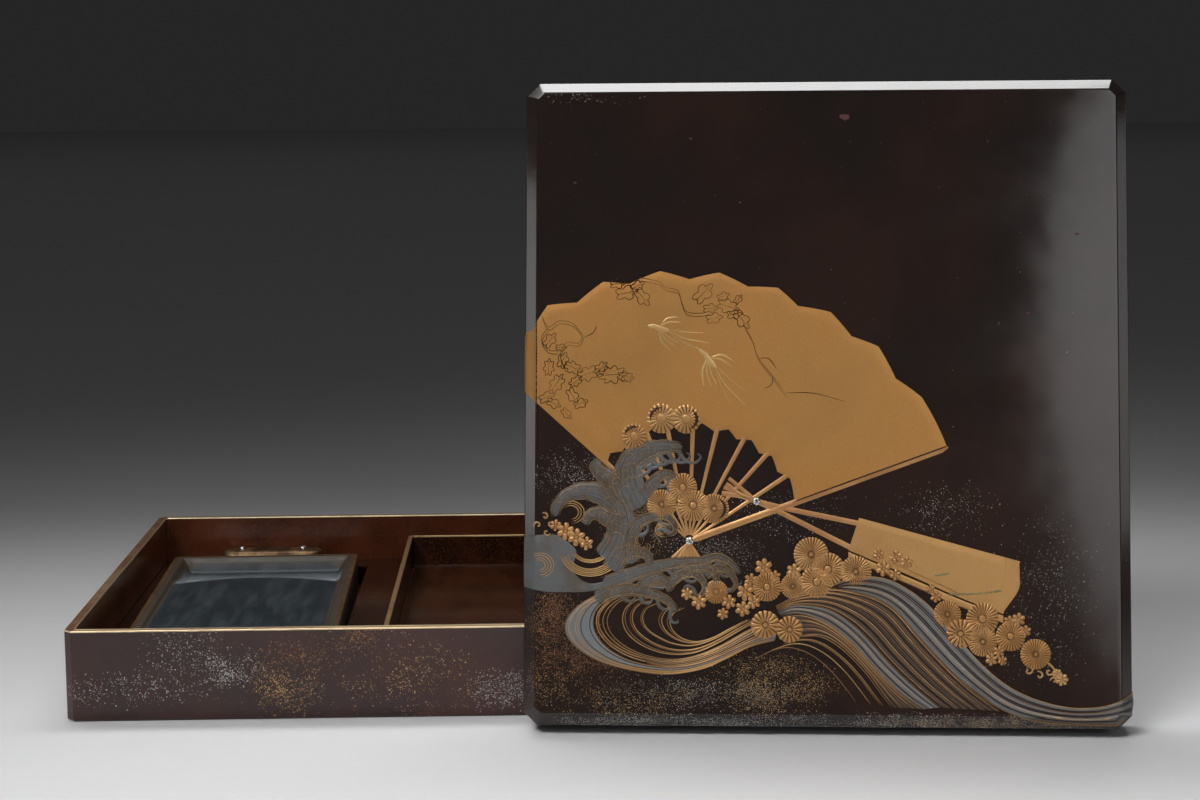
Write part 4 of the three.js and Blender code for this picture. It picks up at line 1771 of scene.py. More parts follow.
    def patch(
        self, low: np.ndarray, high: np.ndarray, columns: int, lift: float, furrows: float = 0,
        depth: float = 0.3,
    ) -> Skin:
        """A raised sheet between two lines, with furrows that run along it.

        The height is the lift times a curve that falls to a fifth at both edges, less a share of a cosine
        across the sheet; the tone is 1 at the bottom of each furrow.

        Args:
            low: one edge, in pixels.
            high: the other edge, with as many points.
            columns: points across.
            lift: height above the lacquer.
            furrows: how many furrows lie across the sheet.
            depth: the furrows' depth as a share of the lift.

        Returns:
            The sheet with its tone.
        """
        across = np.linspace(0, 1, columns)
        flat = low[:, None] * (1 - across)[None, :, None] + high[:, None] * across[None, :, None]
        wave = 0.5 - 0.5 * np.cos(2 * math.pi * furrows * across)
        edge = 0.2 + 0.8 * np.clip(np.minimum(across, 1 - across) / 0.12, 0, 1)
        rise = lift * edge * (1 - depth * wave)
        return self.plates(flat[None], rise, wave * (furrows > 0))

    def blossoms(
        self, middles: Sequence[Pair], radii: Sequence[float], petals: int, lift: float = 0.35,
        scallop: float = 0.05, turn: float = 0, eye: float = 0.14,
    ) -> Skin:
        """Round flowers: domes whose petals are parted by grooves from a small eye to the scalloped edge.

        The outline's radius shrinks by the scallop between petals. The height is a flat dome less the
        grooves, and the tone is 1 in the grooves and round the eye.

        Args:
            middles: the flowers' middles, in pixels.
            radii: their radii, in pixels.
            petals: petals of each.
            lift: height of the dome.
            scallop: how far the outline is drawn in between petals.
            turn: how far the pattern is turned, in radians.
            eye: radius of the eye as a share of the flower's.

        Returns:
            The flowers as one surface with their tone.
        """
        around = 6 * petals
        angle = np.linspace(0, 2 * math.pi, around, endpoint=False)
        petal = np.abs(np.cos(0.5 * petals * (angle + turn)))
        outline = 1 - scallop * (1 - petal) ** 1.5
        share = np.array([0.05, eye * 0.9, eye * 1.15, 0.34, 0.52, 0.7, 0.86, 0.96, 1])
        reach = share[:, None] * (1 + (outline - 1) * share[:, None] ** 2)
        ring = reach[..., None] * compass(angle)
        flat = np.array(middles)[:, None, None] + np.array(radii)[:, None, None, None] * ring[None]
        groove = (1 - petal) ** 2 * np.clip((share[:, None] - eye) * 5, 0, 1)
        dome = np.sqrt(np.clip(1.02 - share[:, None] ** 4, 0, 1))
        rise = lift * (0.35 + 0.65 * dome) * (1 - 0.55 * groove)
        rise = rise * np.where(np.isclose(share[:, None], eye * 1.15), 0.72, 1)
        top = self.place(flat, np.broadcast_to(rise, flat.shape[:-1]))
        skirt = self.place(flat[:, -1:], BURIED)
        rings = np.concatenate([top, skirt], axis=1)
        middle = np.array(middles)
        start, end = self.place(middle, lift), self.place(middle, BURIED)
        dark = np.concatenate([groove + 0.8 * np.isclose(share[:, None], eye * 1.15), groove[-1:]])
        inner = np.broadcast_to(np.clip(dark, 0, 1), (len(middle), *dark.shape)).reshape(len(middle), -1)
        whole = np.concatenate([inner, np.zeros((len(middle), 2))], axis=1)
        return vessels(rings, start, end).marked("tone", whole.ravel())


@dataclass(frozen=True)
class PaintedMetal:
    """Metal powder laid over a raised design; the tone mark darkens its grooves and outlines."""

    name: str
    metal: Colour
    groove: Colour
    second: Colour
    rough: float = 0.42
    shine: float = 0.6
    patches: float = 60.0

    def build(self) -> bpy.types.Material:
        """Two shades of metal in patches, a powder's grain, and the dark grooves.

        Returns:
            The material.
        """
        r = Recipe(self.name)
        place = r.place()
        soft = r.noise(place, self.patches, 4, 0.6)
        grain = r.noise(place, 1700, 3, 0.7)
        colour = r.blend(r.fade(soft, 0.38, 0.66), self.metal, self.second)
        colour = r.blend(r.fade(grain, 0.5, 0.75, 0, 0.30), colour, self.groove)
        tone = r.mark("tone")
        colour = r.blend(r.fade(tone, 0.15, 0.95), colour, self.groove)
        rough = r.fade(soft, 0.2, 0.8, self.rough - 0.05, self.rough + 0.08)
        normal = r.bump(grain, 0.00003, 0.6)
        return r.finish(base_color=colour, metallic=self.shine, roughness=rough, normal=normal)


class Flow(Enum):
    """What a band of the waves is painted with."""

    SILVER = "silver"
    BROWN = "brown"


@dataclass
class BigFan:
    """The open fan: a pleated golden leaf that runs over the left bevel, its ribs and its dark guard."""

    plane: PicturePlane
    pivot: Pair = (690, 545)
    folds: Line = (
        (20.2, 274.9), (32.1, 273.7), (38.6, 263), (46.2, 271.6), (52, 261.4), (58.7, 269.3), (65.6, 259.1),
        (71.1, 268.5), (77.4, 261.3), (84.1, 270.4), (90.4, 262), (96.6, 271.8), (103.6, 264.4),
        (108.8, 273.5), (115.6, 263.9), (121.4, 275.5), (127, 264), (132.5, 272), (138.2, 265),
    )
    inner: float = 112.0
    inner_step: float = 6.5
    ribs: tuple[float, ...] = (34.2, 48.6, 62.2, 76.5, 88.7, 101.5, 112, 124, 137)
    rib_width: float = 2.2
    rib_growth: float = 2.6
    rib_lift: float = 0.22
    guard_width: float = 6.6
    guard_lift: float = 0.36
    tip: Pair = (949, 449.5)

    def at(self, angle: np.ndarray, radius: np.ndarray) -> np.ndarray:
        """Pixels at an angle and a distance from the pivot, angles anticlockwise in degrees."""
        return polar(self.pivot, radius, np.radians(angle))

    def leaf(self) -> Skin:
        """The leaf on a grid of angle and distance.

        Its edges step in and out at every fold, and its height rises to a ridge at each outer fold.

        Returns:
            The leaf, with a tone along both kinds of fold.
        """
        angle, radius = np.array(self.folds).T
        fold = np.arange(len(angle))
        fine = np.linspace(0, len(angle) - 1, 12 * (len(angle) - 1) + 1)
        outer = np.interp(fine, fold, radius)
        ridge = np.interp(fine, fold, (fold % 2 == 1).astype(float))
        low = self.inner + self.inner_step * ridge
        share = np.linspace(0, 1, 46)
        reach = low[:, None] * (1 - share) + outer[:, None] * share
        flat = self.at(np.interp(fine, fold, angle)[:, None], reach)
        edge = np.clip(np.minimum(share, 1 - share) / 0.03, 0.35, 1)
        rise = (0.22 + 0.10 * ridge[:, None]) * edge
        tone = 0.22 * np.abs(ridge - 0.5)[:, None] ** 3 * 8 * np.ones_like(share)
        return self.plane.plates(flat[None], rise, tone, under=-0.12)

    def sticks(self) -> Skin:
        """Ribs from the pivot to the leaf, and their short ends below the pivot.

        Returns:
            The piece's surface.
        """
        angle = np.array(self.ribs)[:, None]
        share = np.linspace(0, 1, 14)
        upper = self.at(angle, 6 + (self.inner + 6) * share)
        width = np.broadcast_to(self.rib_width + self.rib_growth * share, upper.shape[:2])
        parts = [self.plane.ribbons(upper, width, self.rib_lift, taper=0)]
        ends = self.at(np.linspace(226, 300, 7)[:, None], 4 + 20 * share)
        width = np.broadcast_to(1.6 + self.rib_growth * share, ends.shape[:2])
        parts.append(self.plane.ribbons(ends, width, self.rib_lift, taper=0))
        guard = curve([self.pivot, self.tip], 40)[None]
        parts.append(self.plane.ribbons(guard, self.guard_width, self.guard_lift, taper=0.02))
        return joined(parts)

    def guard_line(self) -> Skin:
        """The dark slot along the guard's outer half, and a line near its foot.

        Returns:
            The piece's surface.
        """
        start = np.array(self.pivot) * 0.60 + np.array(self.tip) * 0.40
        slot = curve([tuple(start), self.tip], 30) - np.array([0.4, 1])
        worn = curve([(535.4, 322), (535.8, 360), (536, 400), (536.4, 430), (537, 462)], 30)
        return joined([
            self.plane.ribbons(slot[None], 2.7, 0.44, taper=0.03),
            self.plane.ribbons(worn[None], 1.5, 0.34, 3, 0.4),
        ])


@dataclass
class SmallFan:
    """The half-closed fan at the right: two sticks and a folded leaf."""

    plane: PicturePlane
    pivot: Pair = (757, 505)
    stick_width: float = 5.2
    leaf_lift: float = 0.30

    def leaf(self) -> Skin:
        """The leaf as a sheet between its upper and lower edge, and the fold that shows under it.

        Returns:
            The piece's surface.
        """
        upper = curve([(860, 521), (941, 542.5), (1022.5, 564)], 60)
        lower = curve([(849.5, 553.5), (905, 576.5), (963, 601), (1006, 617)], 60)
        step = np.array([0, 9])
        main = self.plane.patch(upper, lower, 16, self.leaf_lift)
        tip = self.plane.patch(
            curve([(1021.5, 564), (1022.2, 578), (1021, 593), (1005.5, 616)], 24),
            curve([(1006, 561), (1004, 576), (1000, 592), (992, 610)], 24), 8, 0.32,
        )
        under = self.plane.patch(lower + 0.2 * step, lower + step, 6, 0.2)
        return joined([main, tip, under])

    def folds(self) -> Skin:
        """Dark lines along the folds near the lower edge.

        Returns:
            The piece's surface.
        """
        lines = np.stack([
            curve([(893, 566), (925, 580), (962, 597)], 30),
            curve([(897, 573), (925, 585), (956, 599)], 30),
            curve([(851, 555), (905, 578), (963, 602)], 30),
        ])
        return self.plane.ribbons(lines, 0.8, 0.36, 3, 0.1)

    def spray(self) -> Skin:
        """A faint spray of small leaves painted on the leaf.

        Returns:
            The piece's surface.
        """
        strokes = []
        for k in range(34):
            x = 936.0 + 66.0 * ((k * 0.618) % 1)
            y = 574.0 + 0.22 * (x - 936) + 22.0 * ((k * 0.383 + 0.2) % 1)
            turn = 2.4 * k
            strokes.append(curve([(x, y), (x + 3.6 * math.cos(turn), y + 2.0 * math.sin(turn))], 6))
        return self.plane.ribbons(np.stack(strokes), 1.8, 0.10, 4, 0.5, base=self.leaf_lift)

    def sticks(self) -> Skin:
        """The two sticks, their head above the pivot, and the edge of the fold.

        Returns:
            The piece's surface.
        """
        ends = [((726, 488), (757, 505), (861, 527)), ((722, 497), (757, 505), (852, 551))]
        lines = np.stack([curve(e, 40) for e in ends])
        fan = np.stack([curve([self.pivot, (x, y)], 40) for x, y in ((729, 482), (724, 491))])
        edge = curve([(851, 562), (905, 585), (963, 610), (1000, 622)], 40)[None]
        return joined([
            self.plane.ribbons(lines, self.stick_width, 0.26, taper=0),
            self.plane.ribbons(fan, 4, 0.24, taper=0),
            self.plane.ribbons(edge, 1.3, 0.26, tone=0.8),
        ])


@dataclass
class Waves:
    """The breaking wave: silver bands, brown troughs and long gold hairlines, given by their guide lines."""

    plane: PicturePlane
    count: int = 90
    hair_width: float = 0.92
    dark_width: float = 1.1
    line_lift: float = 0.14
    crest_top: Line = (
        (832, 591), (847, 583), (864, 580), (886, 582), (905.4, 590.3), (924.8, 603.6), (939.4, 618),
        (954, 635), (968.4, 651), (983, 666.6), (1002.4, 683.6), (1021.8, 695.7), (1046, 705.4),
        (1075, 711.5), (1104, 710.8), (1123.5, 705.4), (1142, 696),
    )
    crest_low: Line = (
        (836, 592), (852, 594.6), (879, 602), (899, 614.5), (919, 637), (939, 659), (959, 679),
        (983.8, 699), (1008.7, 715), (1038.5, 724), (1080, 728), (1136, 729),
    )
    trough_top: Line = (
        (777, 610), (802, 597.5), (827, 592.6), (852, 595), (879, 602.4), (899, 615), (919, 637.5),
        (939, 659.5), (959, 679.5), (979, 697), (1003, 715),
    )
    second_top: Line = (
        (779.4, 616), (794, 609.7), (813, 609.7), (832.7, 614.5), (852, 626.7), (869, 642.4), (886, 661.8),
        (905.4, 681), (924.8, 698), (941.8, 711.5),
    )
    second_low: Line = (
        (781.8, 618.5), (801, 617), (820.6, 623), (840, 635), (857, 649.7), (874, 669), (890.9, 686),
        (907.8, 700.6), (927, 713),
    )
    lowest_top: Line = (
        (800, 640), (820.6, 638.5), (837.6, 645.5), (857, 662), (874, 681), (888.5, 700.6), (898, 712),
    )
    lowest_low: Line = (
        (757, 663), (774.5, 654.5), (789, 651.6), (803.6, 654.5), (818, 662), (832, 674), (846, 690),
        (858, 706),
    )
    curl_outer: Line = (
        (668, 588), (647, 588), (619.5, 592), (599, 599), (581, 609), (569.5, 621), (566, 633), (571, 645),
        (584, 657), (603, 667), (633, 675), (668, 679), (702, 674), (728, 663), (752, 651), (776, 645),
    )
    curl_band: Line = (
        (664, 594), (645, 593), (622, 597), (606, 606), (596, 617), (594, 631), (600, 644), (614, 657),
        (636, 667), (668, 672), (700, 668), (728, 657), (756, 644), (778, 637),
    )
    curl_base: Line = ((640, 660), (668, 665), (694, 662), (722, 652), (750, 636), (779, 621))
    curl_low: Line = ((648, 668), (672, 673), (700, 669), (728, 659), (754, 647), (777, 641))
    curl_second: Line = (
        (660, 598), (640, 597), (619, 602), (606, 611), (599.5, 623), (603, 637), (617, 651), (640, 661.5),
        (668, 666.5), (694, 663), (722, 652), (750, 636), (779, 621),
    )
    curl_third: Line = (
        (652, 603), (638, 605), (628, 614), (626.5, 627), (634, 640), (650, 651), (672, 657.5), (697, 656),
        (720, 646), (742, 633), (762, 622),
    )
    curl_fourth: Line = (
        (657, 608), (646.5, 613), (642.5, 623), (647, 633), (658, 641), (674, 648), (694, 650), (714, 644),
        (733, 634), (751, 624),
    )
    curl_eye: Line = (
        (686, 612), (676, 616.5), (671, 625), (674, 635), (684, 643), (698, 646), (714, 642), (731, 633),
        (748, 624),
    )

    def line(self, name: str) -> np.ndarray:
        """One of the guide lines, evenly stepped."""
        return curve(getattr(self, name), self.count)

    def strands(self, rows: Sequence[tuple], width: float, swing: float) -> Skin:
        """Families of fine lines between guides.

        Args:
            rows: two guides, the shares of the way between them, and the ground's height, for each family.
            width: the lines' width in pixels.
            swing: how much the tone changes from line to line.

        Returns:
            The lines as one surface.
        """
        made = []
        for k, (a, b, shares, base) in enumerate(rows):
            lines = between(self.line(a), self.line(b), shares)
            tone = swing * np.abs(np.sin(1.7 * np.arange(len(shares)) + k))
            made.append(self.plane.ribbons(lines, width, self.line_lift, 3, 0.3, tone, base))
        return joined(made)

    def bands(self, flow: Flow) -> Skin:
        """The painted bands of one kind, each a furrowed sheet between two guide lines.

        Args:
            flow: which kind.

        Returns:
            The piece's surface.
        """
        rows = {
            Flow.SILVER: (
                ("crest_top", "crest_low", 3, 0.50), ("second_top", "second_low", 2, 0.42),
                ("curl_outer", "curl_band", 0, 0.34),
            ),
            Flow.BROWN: (
                ("trough_top", "second_top", 7, 0.36), ("second_low", "lowest_top", 5, 0.30),
                ("curl_base", "curl_low", 3, 0.30),
            ),
        }
        return joined([
            self.plane.patch(self.line(a), self.line(b), 8 + 6 * int(furrows), lift, furrows)
            for a, b, furrows, lift in rows[flow]
        ])

    def hairlines(self) -> Skin:
        """Long gold lines between the guides, thinning at their ends.

        Returns:
            The piece's surface.
        """
        rows = (
            ("crest_top", "crest_low", (0, 0.34, 0.66, 1), 0.48),
            ("trough_top", "second_top", (0, 0.05, 0.17, 0.22, 0.38, 0.43, 0.48, 0.66, 0.72, 0.90), 0.30),
            ("second_top", "second_low", (0, 0.5, 1), 0.38),
            ("second_low", "lowest_top", (0.12, 0.30, 0.36, 0.52, 0.72, 0.78, 1), 0.24),
            ("lowest_top", "lowest_low", (0.08, 0.30, 0.36, 0.62, 1), 0.02),
            ("curl_outer", "curl_band", (0, 0.12, 0.22, 0.34, 0.42, 1), 0.30),
            ("curl_band", "curl_second", (0.55, 0.85), 0.02),
            ("curl_second", "curl_third", (0, 0.14, 0.28, 0.86, 1), 0.04),
            ("curl_third", "curl_fourth", (0.30, 0.42, 0.96), 0.06),
            ("curl_fourth", "curl_eye", (0.04, 0.60, 0.70, 0.90, 1), 0.08),
            ("curl_base", "curl_low", (0.2, 0.4, 0.62, 0.8, 1), 0.24),
        )
        return self.strands(rows, self.hair_width, 0.75)

    def dark_lines(self) -> Skin:
        """Dark pairs of lines along the crest and the second band.

        Returns:
            The piece's surface.
        """
        rows = (
            ("crest_top", "crest_low", (0.20, 0.27, 0.48, 0.55, 0.80), 0.46),
            ("second_top", "second_low", (0.30, 0.74), 0.36), ("curl_outer", "curl_band", (0.52, 0.86), 0.28),
            ("trough_top", "second_top", (0.11, 0.30, 0.57, 0.80), 0.28),
        )
        return self.strands(rows, self.dark_width, 0)


@dataclass
class Foam:
    """The foam heads: hooked claws with scalloped backs, fingers at their tips and lines along them."""

    plane: PicturePlane
    steps: int = 64
    scallops: int = 9
    scallop_depth: float = 0.16
    claw_lift: float = 0.5
    finger_widths: Pair = (5.6, 1.6)
    line_width: float = 0.75
    arc_width: float = 0.7
    line_lift: float = 0.14
    claws: tuple[tuple[Line, float, float, int], ...] = (
        (((610, 566), (621, 541), (620, 516), (606, 501), (586, 495), (568, 500),
          (557, 511), (556, 521)), 34, 8, 0),
        (((640, 512), (629, 490), (630, 468), (644, 457), (662, 451), (682, 451)), 36, 8, 7),
        (((622, 498), (612, 485), (602, 478), (596, 471), (601, 466)), 24, 9, 0),
        (((626, 528), (612, 524), (600, 518), (590, 520), (585, 529)), 22, 7, 0),
        (((646, 500), (654, 486), (664, 478), (673, 480), (676, 488)), 15, 4, 3),
        (((612, 574), (622, 560), (636, 556), (648, 560), (650, 569)), 20, 6, 0),
        (((632, 568), (630, 550), (636, 531), (649, 522), (664, 520), (674, 527),
          (675, 536), (667, 540)), 17, 3, 3),
        (((604, 590), (630, 580), (652, 573), (678, 567), (704, 565), (717, 561),
          (730, 566), (741, 578)), 16, 5, 5),
        (((641, 597), (647, 587), (657, 582), (667, 586), (672, 596)), 14, 6, 0),
        (((676, 581), (690, 572), (706, 571), (716, 578), (717, 588)), 13, 5, 2),
        (((596, 603), (612, 597), (630, 594), (650, 597), (667, 604), (677, 615)), 15, 6, 4),
        (((668, 590), (682, 579), (697, 579), (706, 590), (701, 600), (693, 599)), 11, 3, 2),
        (((706, 580), (718, 572), (731, 577), (737, 588), (731, 597)), 9, 3, 2),
    )

    def along(self, path: Line, start: float, tip: float) -> tuple[np.ndarray, ...]:
        """A claw's middle line and its way ahead and aside, with half its width from start to tip.

        Args:
            path: the claw's guide points.
            start: full width at its root.
            tip: full width at its tip.

        Returns:
            The line, the directions ahead and aside, the half widths, and the half widths with scallops.
        """
        line = curve(path, self.steps)
        ahead, aside = directions(line)
        share = np.linspace(0, 1, self.steps)
        half = 0.5 * (start * (1 - share) + tip * share)
        wave = np.abs(np.sin(self.scallops * math.pi * share))
        swelling = 1 + self.scallop_depth * wave * (0.3 + 0.7 * share)
        return line, ahead, aside, half, half * swelling

    def mass(self) -> Skin:
        """The wave's body at the left edge, a flat sheet between its upper and lower line.

        Returns:
            The sheet.
        """
        upper = curve([(524, 541), (537, 540), (549, 539), (560, 541), (570, 548), (577, 557),
                       (572, 568), (578, 581), (590, 588), (606, 586)], 60)
        lower = curve([(524, 592), (537, 595), (550, 597), (564, 597), (578, 597), (592, 596),
                       (606, 593)], 60)
        return self.plane.patch(upper, lower, 18, 0.30)

    def fingers(self) -> Skin:
        """Small hooked strokes that leave a claw's hollow side and curl towards its tip.

        Returns:
            The strokes.
        """
        strokes, widths = [], []
        for path, start, tip, count in self.claws:
            line, ahead, aside, half, _ = self.along(path, start, tip)
            for at in np.linspace(18, 60, count).astype(int):
                n, t, h = aside[at], ahead[at], half[at]
                size = 5.0 + 0.28 * start
                hook = line[at] + np.array([
                    0.3 * h * n, (h + 0.5 * size) * n + 0.5 * size * t, (h + 0.7 * size) * n + 1.2 * size * t,
                    (h + 0.3 * size) * n + 1.6 * size * t, (h + 0.05 * size) * n + 1.35 * size * t,
                ])
                strokes.append(curve(hook, 24))
                widths.append(np.linspace(*self.finger_widths, 24))
        return self.plane.ribbons(np.stack(strokes), np.stack(widths), 0.42, 5, 0.1)

    def body(self) -> Skin:
        """Each claw is a strip whose width shrinks towards its tip and swells in even scallops.

        Returns:
            The piece's surface.
        """
        made = []
        for path, start, tip, _ in self.claws:
            line, _, _, _, half = self.along(path, start, tip)
            made.append(self.plane.ribbons(line[None], 2 * half[None], self.claw_lift, 9, 0.05))
        return joined(made + [self.mass(), self.fingers()])

    def lines(self) -> Skin:
        """Fine lines that follow each claw on both sides of its back, and round its scallops.

        Returns:
            The lines.
        """
        made = []
        for path, start, tip, _ in self.claws:
            line, _, aside, _, half = self.along(path, start, tip)
            offsets = np.array([-1, -0.78, -0.55, -0.2, 0.1, 0.45, 0.72, 1])
            family = line[None] + aside[None] * (offsets[:, None] * half)[..., None]
            tone = np.abs(np.sin(offsets * 9))
            made.append(self.plane.ribbons(family, self.line_width, self.line_lift, 3, 0.2, tone, 0.42))
        return joined(made)

    def scales(self) -> Skin:
        """Small arcs across each claw, one behind the other, that bulge towards its tip.

        Returns:
            The arcs.
        """
        made = []
        turn = np.linspace(0.15, math.pi - 0.15, 16)
        for path, start, tip, _ in self.claws:
            line, ahead, aside, half, _ = self.along(path, start, tip)
            at = np.arange(5, 60, 5)
            lean = np.where(np.arange(len(at)) % 2 == 0, 0.34, -0.34)[:, None, None]
            size = (0.52 * half[at])[:, None, None]
            across = aside[at][:, None] * (np.cos(turn)[None, :, None] + lean * 1.4)
            forward = ahead[at][:, None] * np.sin(turn)[None, :, None]
            arcs = line[at][:, None] + size * (across + 1.1 * forward)
            tone = 0.6 * (np.arange(len(at)) % 3 == 0)
            made.append(self.plane.ribbons(arcs, self.arc_width, self.line_lift, 3, 0.3, tone, 0.46))
        return joined(made)

    def rings(self) -> Skin:
        """Gold crescents in the hollows of the two largest claws and at the left edge.

        Returns:
            The piece's surface.
        """
        made = []
        eyes = (
            ((570, 517), (8, 13), 3, -80, 130), ((589, 549), (18, 21), 3, -150, 40),
            ((588, 554), (23, 31), 5, -165, -5), ((539, 570), (6, 14), 4, -80, 110),
            ((663, 534), (4, 8), 3, 30, 300), ((642, 551), (3, 8), 3, 100, 380),
            ((624, 511), (3, 8), 3, -60, 160),
        )
        for middle, (inner, outer), count, start, end in eyes:
            angle = np.radians(np.linspace(start, end, 36))[None]
            radius = np.linspace(inner, outer, count)[:, None] * (1 + 0.10 * np.cos(angle))
            arcs = polar(middle, radius, angle, 0.86)
            made.append(self.plane.ribbons(arcs, 1.1, 0.18, 3, 0.4, 0.4 * (np.arange(count) % 2), 0.26))
        return joined(made)


@dataclass
class Garden:
    """Flowers, sprigs and birds of the picture; leaves, birds and blossoms are of a plain usual kind."""

    plane: PicturePlane
    discs: tuple[Triple, ...] = (
        (812, 558, 17.5), (829, 573, 17), (857, 575, 16), (818, 585.5, 16.5), (794, 590, 12.5),
        (768, 591, 14.5), (949.5, 617.5, 14), (985, 622, 16.5), (985.5, 645, 15), (1013.5, 639.5, 15),
        (1039, 657.5, 15.5), (683, 491.5, 14.5), (662, 508.5, 15), (693.5, 509.5, 16), (714.5, 512.5, 15),
        (717, 596, 12),
    )
    wheels: tuple[Triple, ...] = ((766.5, 629, 14.5), (791, 633.5, 13.5), (963, 637, 15))
    crescents: tuple[Triple, ...] = ((634, 440.5, 13), (661, 422.5, 15), (686, 423, 14.5))
    small: tuple[Triple, ...] = (
        (764.5, 571, 9), (795, 575, 8), (752, 584, 7), (746.5, 596, 9), (744, 613, 8), (755, 606, 7),
        (885, 572, 8), (897, 560, 7.5), (908, 566, 6.5), (880, 558, 6.5), (897, 578, 6), (1012, 624.5, 6),
        (1021.5, 622.5, 7), (1028.5, 634, 6), (994.5, 663, 6.5), (1002, 655, 6), (1005.5, 664, 5),
        (566, 536, 9), (577, 542, 9), (587, 548, 7), (556, 530, 6), (700, 606, 8), (688, 598, 6.5),
        (730, 606, 7.5), (724, 618, 6), (938, 600, 6), (932, 592, 5), (776, 580, 6),
    )

    def family(self, rows: tuple[Triple, ...], **shape: float) -> Skin:
        """One kind of flower at its places."""
        return self.plane.blossoms([(x, y) for x, y, _ in rows], [r for _, _, r in rows], **shape)

    def flowers(self) -> Skin:
        """Chrysanthemum discs, wheels with few petals, crescent-edged blossoms and small flowers.

        Returns:
            The piece's surface.
        """
        return joined([
            self.family(self.discs[::2], petals=30, scallop=0.03, lift=0.62, eye=0.12),
            self.family(self.discs[1::2], petals=26, scallop=0.03, lift=0.70, eye=0.20, turn=0.2),
            self.family(self.wheels, petals=16, scallop=0.05, lift=0.75, eye=0.16),
            self.family(self.crescents, petals=18, scallop=0.03, lift=0.60, eye=0.30),
            self.family(self.small, petals=6, scallop=0.42, lift=0.66, eye=0.22, turn=0.4),
        ])

    def dark_crescents(self) -> Skin:
        """Dark crescents inside the rims of the blossoms above the foam.

        Returns:
            The piece's surface.
        """
        made = []
        for (x, y, r), (start, end) in zip(self.crescents + ((714.5, 512.5, 15),),
                                           ((70, 170), (90, 190), (-70, 60), (-70, 70))):
            angle = np.radians(np.linspace(start, end, 30))
            arc = polar((x, y), 0.72 * r, angle)
            width = 5.0 * np.sin(np.linspace(0.05, math.pi - 0.05, 30)) + 0.5
            made.append(self.plane.ribbons(arc[None], width[None], 0.74, 4, 0))
        return joined(made)

    def tendrils(self) -> Skin:
        """Small curls past the last flowers.

        Returns:
            The piece's surface.
        """
        spirals = []
        angle = np.linspace(0.4, 1.9 * math.pi, 30)
        for x, y, r, turn in ((1032, 674, 4.6, 1), (1043, 679, 4.6, 2.4), (1053, 675, 4.2, 0.2),
                              (1058, 684, 4, 3.6), (551, 528, 4.6, 1), (545, 521, 4, 2.6),
                              (538, 530, 4.4, 4), (547, 537, 3.6, 0)):
            reach = r * angle / angle[-1]
            spirals.append(polar((x, y), reach, angle + turn))
        bud = self.plane.blossoms([(1066, 683), (1061, 677)], [6.5, 5], petals=7, scallop=0.3, lift=0.4)
        stem = curve([(1046, 664), (1054, 668), (1062, 678), (1068, 685)], 30)[None]
        return joined([
            self.plane.ribbons(np.stack(spirals), 2, 0.30, 4, 0.3), bud, self.plane.ribbons(stem, 2.2, 0.3),
        ])

    def leaf_outline(self, x: float, y: float, size: float, turn: float, lobes: int) -> np.ndarray:
        """A lobed leaf's outline: a long oval whose edge swells between its lobes.

        Args:
            x: pixel of its middle.
            y: pixel of its middle.
            size: half its length in pixels.
            turn: angle in radians.
            lobes: number of swellings.

        Returns:
            The closed outline.
        """
        angle = np.linspace(0, 2 * math.pi, 61)
        reach = size * (0.60 + 0.40 * np.abs(np.cos(0.5 * lobes * angle)) ** 1.3)
        a, b = reach * np.cos(angle), 0.62 * reach * np.sin(angle)
        c, s = math.cos(turn), math.sin(turn)
        return np.stack([x + a * c - b * s, y - a * s - b * c], axis=-1)

    def sprigs(self) -> Skin:
        """Outlined leaves and branches on the big fan's leaf.

        Returns:
            The piece's surface.
        """
        leaves = (
            (625, 297, 12, 0.2, 5), (641, 301, 11, -0.9, 5), (702, 297, 13, 0.8, 5),
            (727, 310, 12, -0.3, 7), (741, 323, 11, -0.9, 5), (722, 300, 7, 0.4, 5), (737, 303, 6, 0.9, 5),
            (612, 379, 15, 0.05, 9), (588, 378, 12, 0.35, 7), (600, 373, 9, 0.8, 7), (625, 381, 9, -0.2, 7),
            (572, 372, 10, -0.4, 7), (575, 386, 8, 0.6, 7), (548, 372, 9, 1.5, 7), (580, 408, 8, 0.4, 5),
            (553, 408, 8, -0.4, 5), (616, 288, 8, 0.1, 5), (636, 290, 8, 0.5, 5), (713, 322, 9, 0.2, 5),
            (733, 318, 8, 0.1, 5), (562, 365, 9, 1.2, 5), (572, 400, 9, -1, 5), (556, 388, 11, 1, 7),
            (566, 418, 7, -0.8, 5), (546, 402, 9, 0.4, 5), (709, 312, 8, 0.1, 5), (549, 345, 9, 0.9, 5),
            (560, 352, 6, 0, 5),
        )
        outlines = np.stack([self.leaf_outline(*row) for row in leaves])
        veins = np.stack([
            curve([(x - 0.8 * r * math.cos(t), y + 0.8 * r * math.sin(t)), (x + 0.8 * r * math.cos(t),
                   y - 0.8 * r * math.sin(t))], 12) for x, y, r, t, _ in leaves
        ])
        branches = [
            ((638, 283), (657, 287), (665, 293), (677, 296), (681, 307), (686, 317),
             (700, 318.5), (714, 315)),
            ((742, 327), (752, 345), (758, 362), (772, 380), (786, 399)),
            ((541, 322), (548, 333), (559, 327), (573, 330), (583, 342)),
            ((583, 341), (578, 349), (566, 349), (560, 362), (566, 376)),
            ((548, 333), (541, 345), (548, 356), (561, 357)),
        ]
        thick = np.stack([curve(b, 50) for b in branches])
        twigs = np.stack([curve(t, 24) for t in (
            ((786, 396), (814, 396.5), (845, 404.5)), ((758, 362), (768, 362), (776, 372)),
            ((772, 380), (771, 388), (764, 392)), ((583, 342), (592, 337), (596, 330)),
        )])
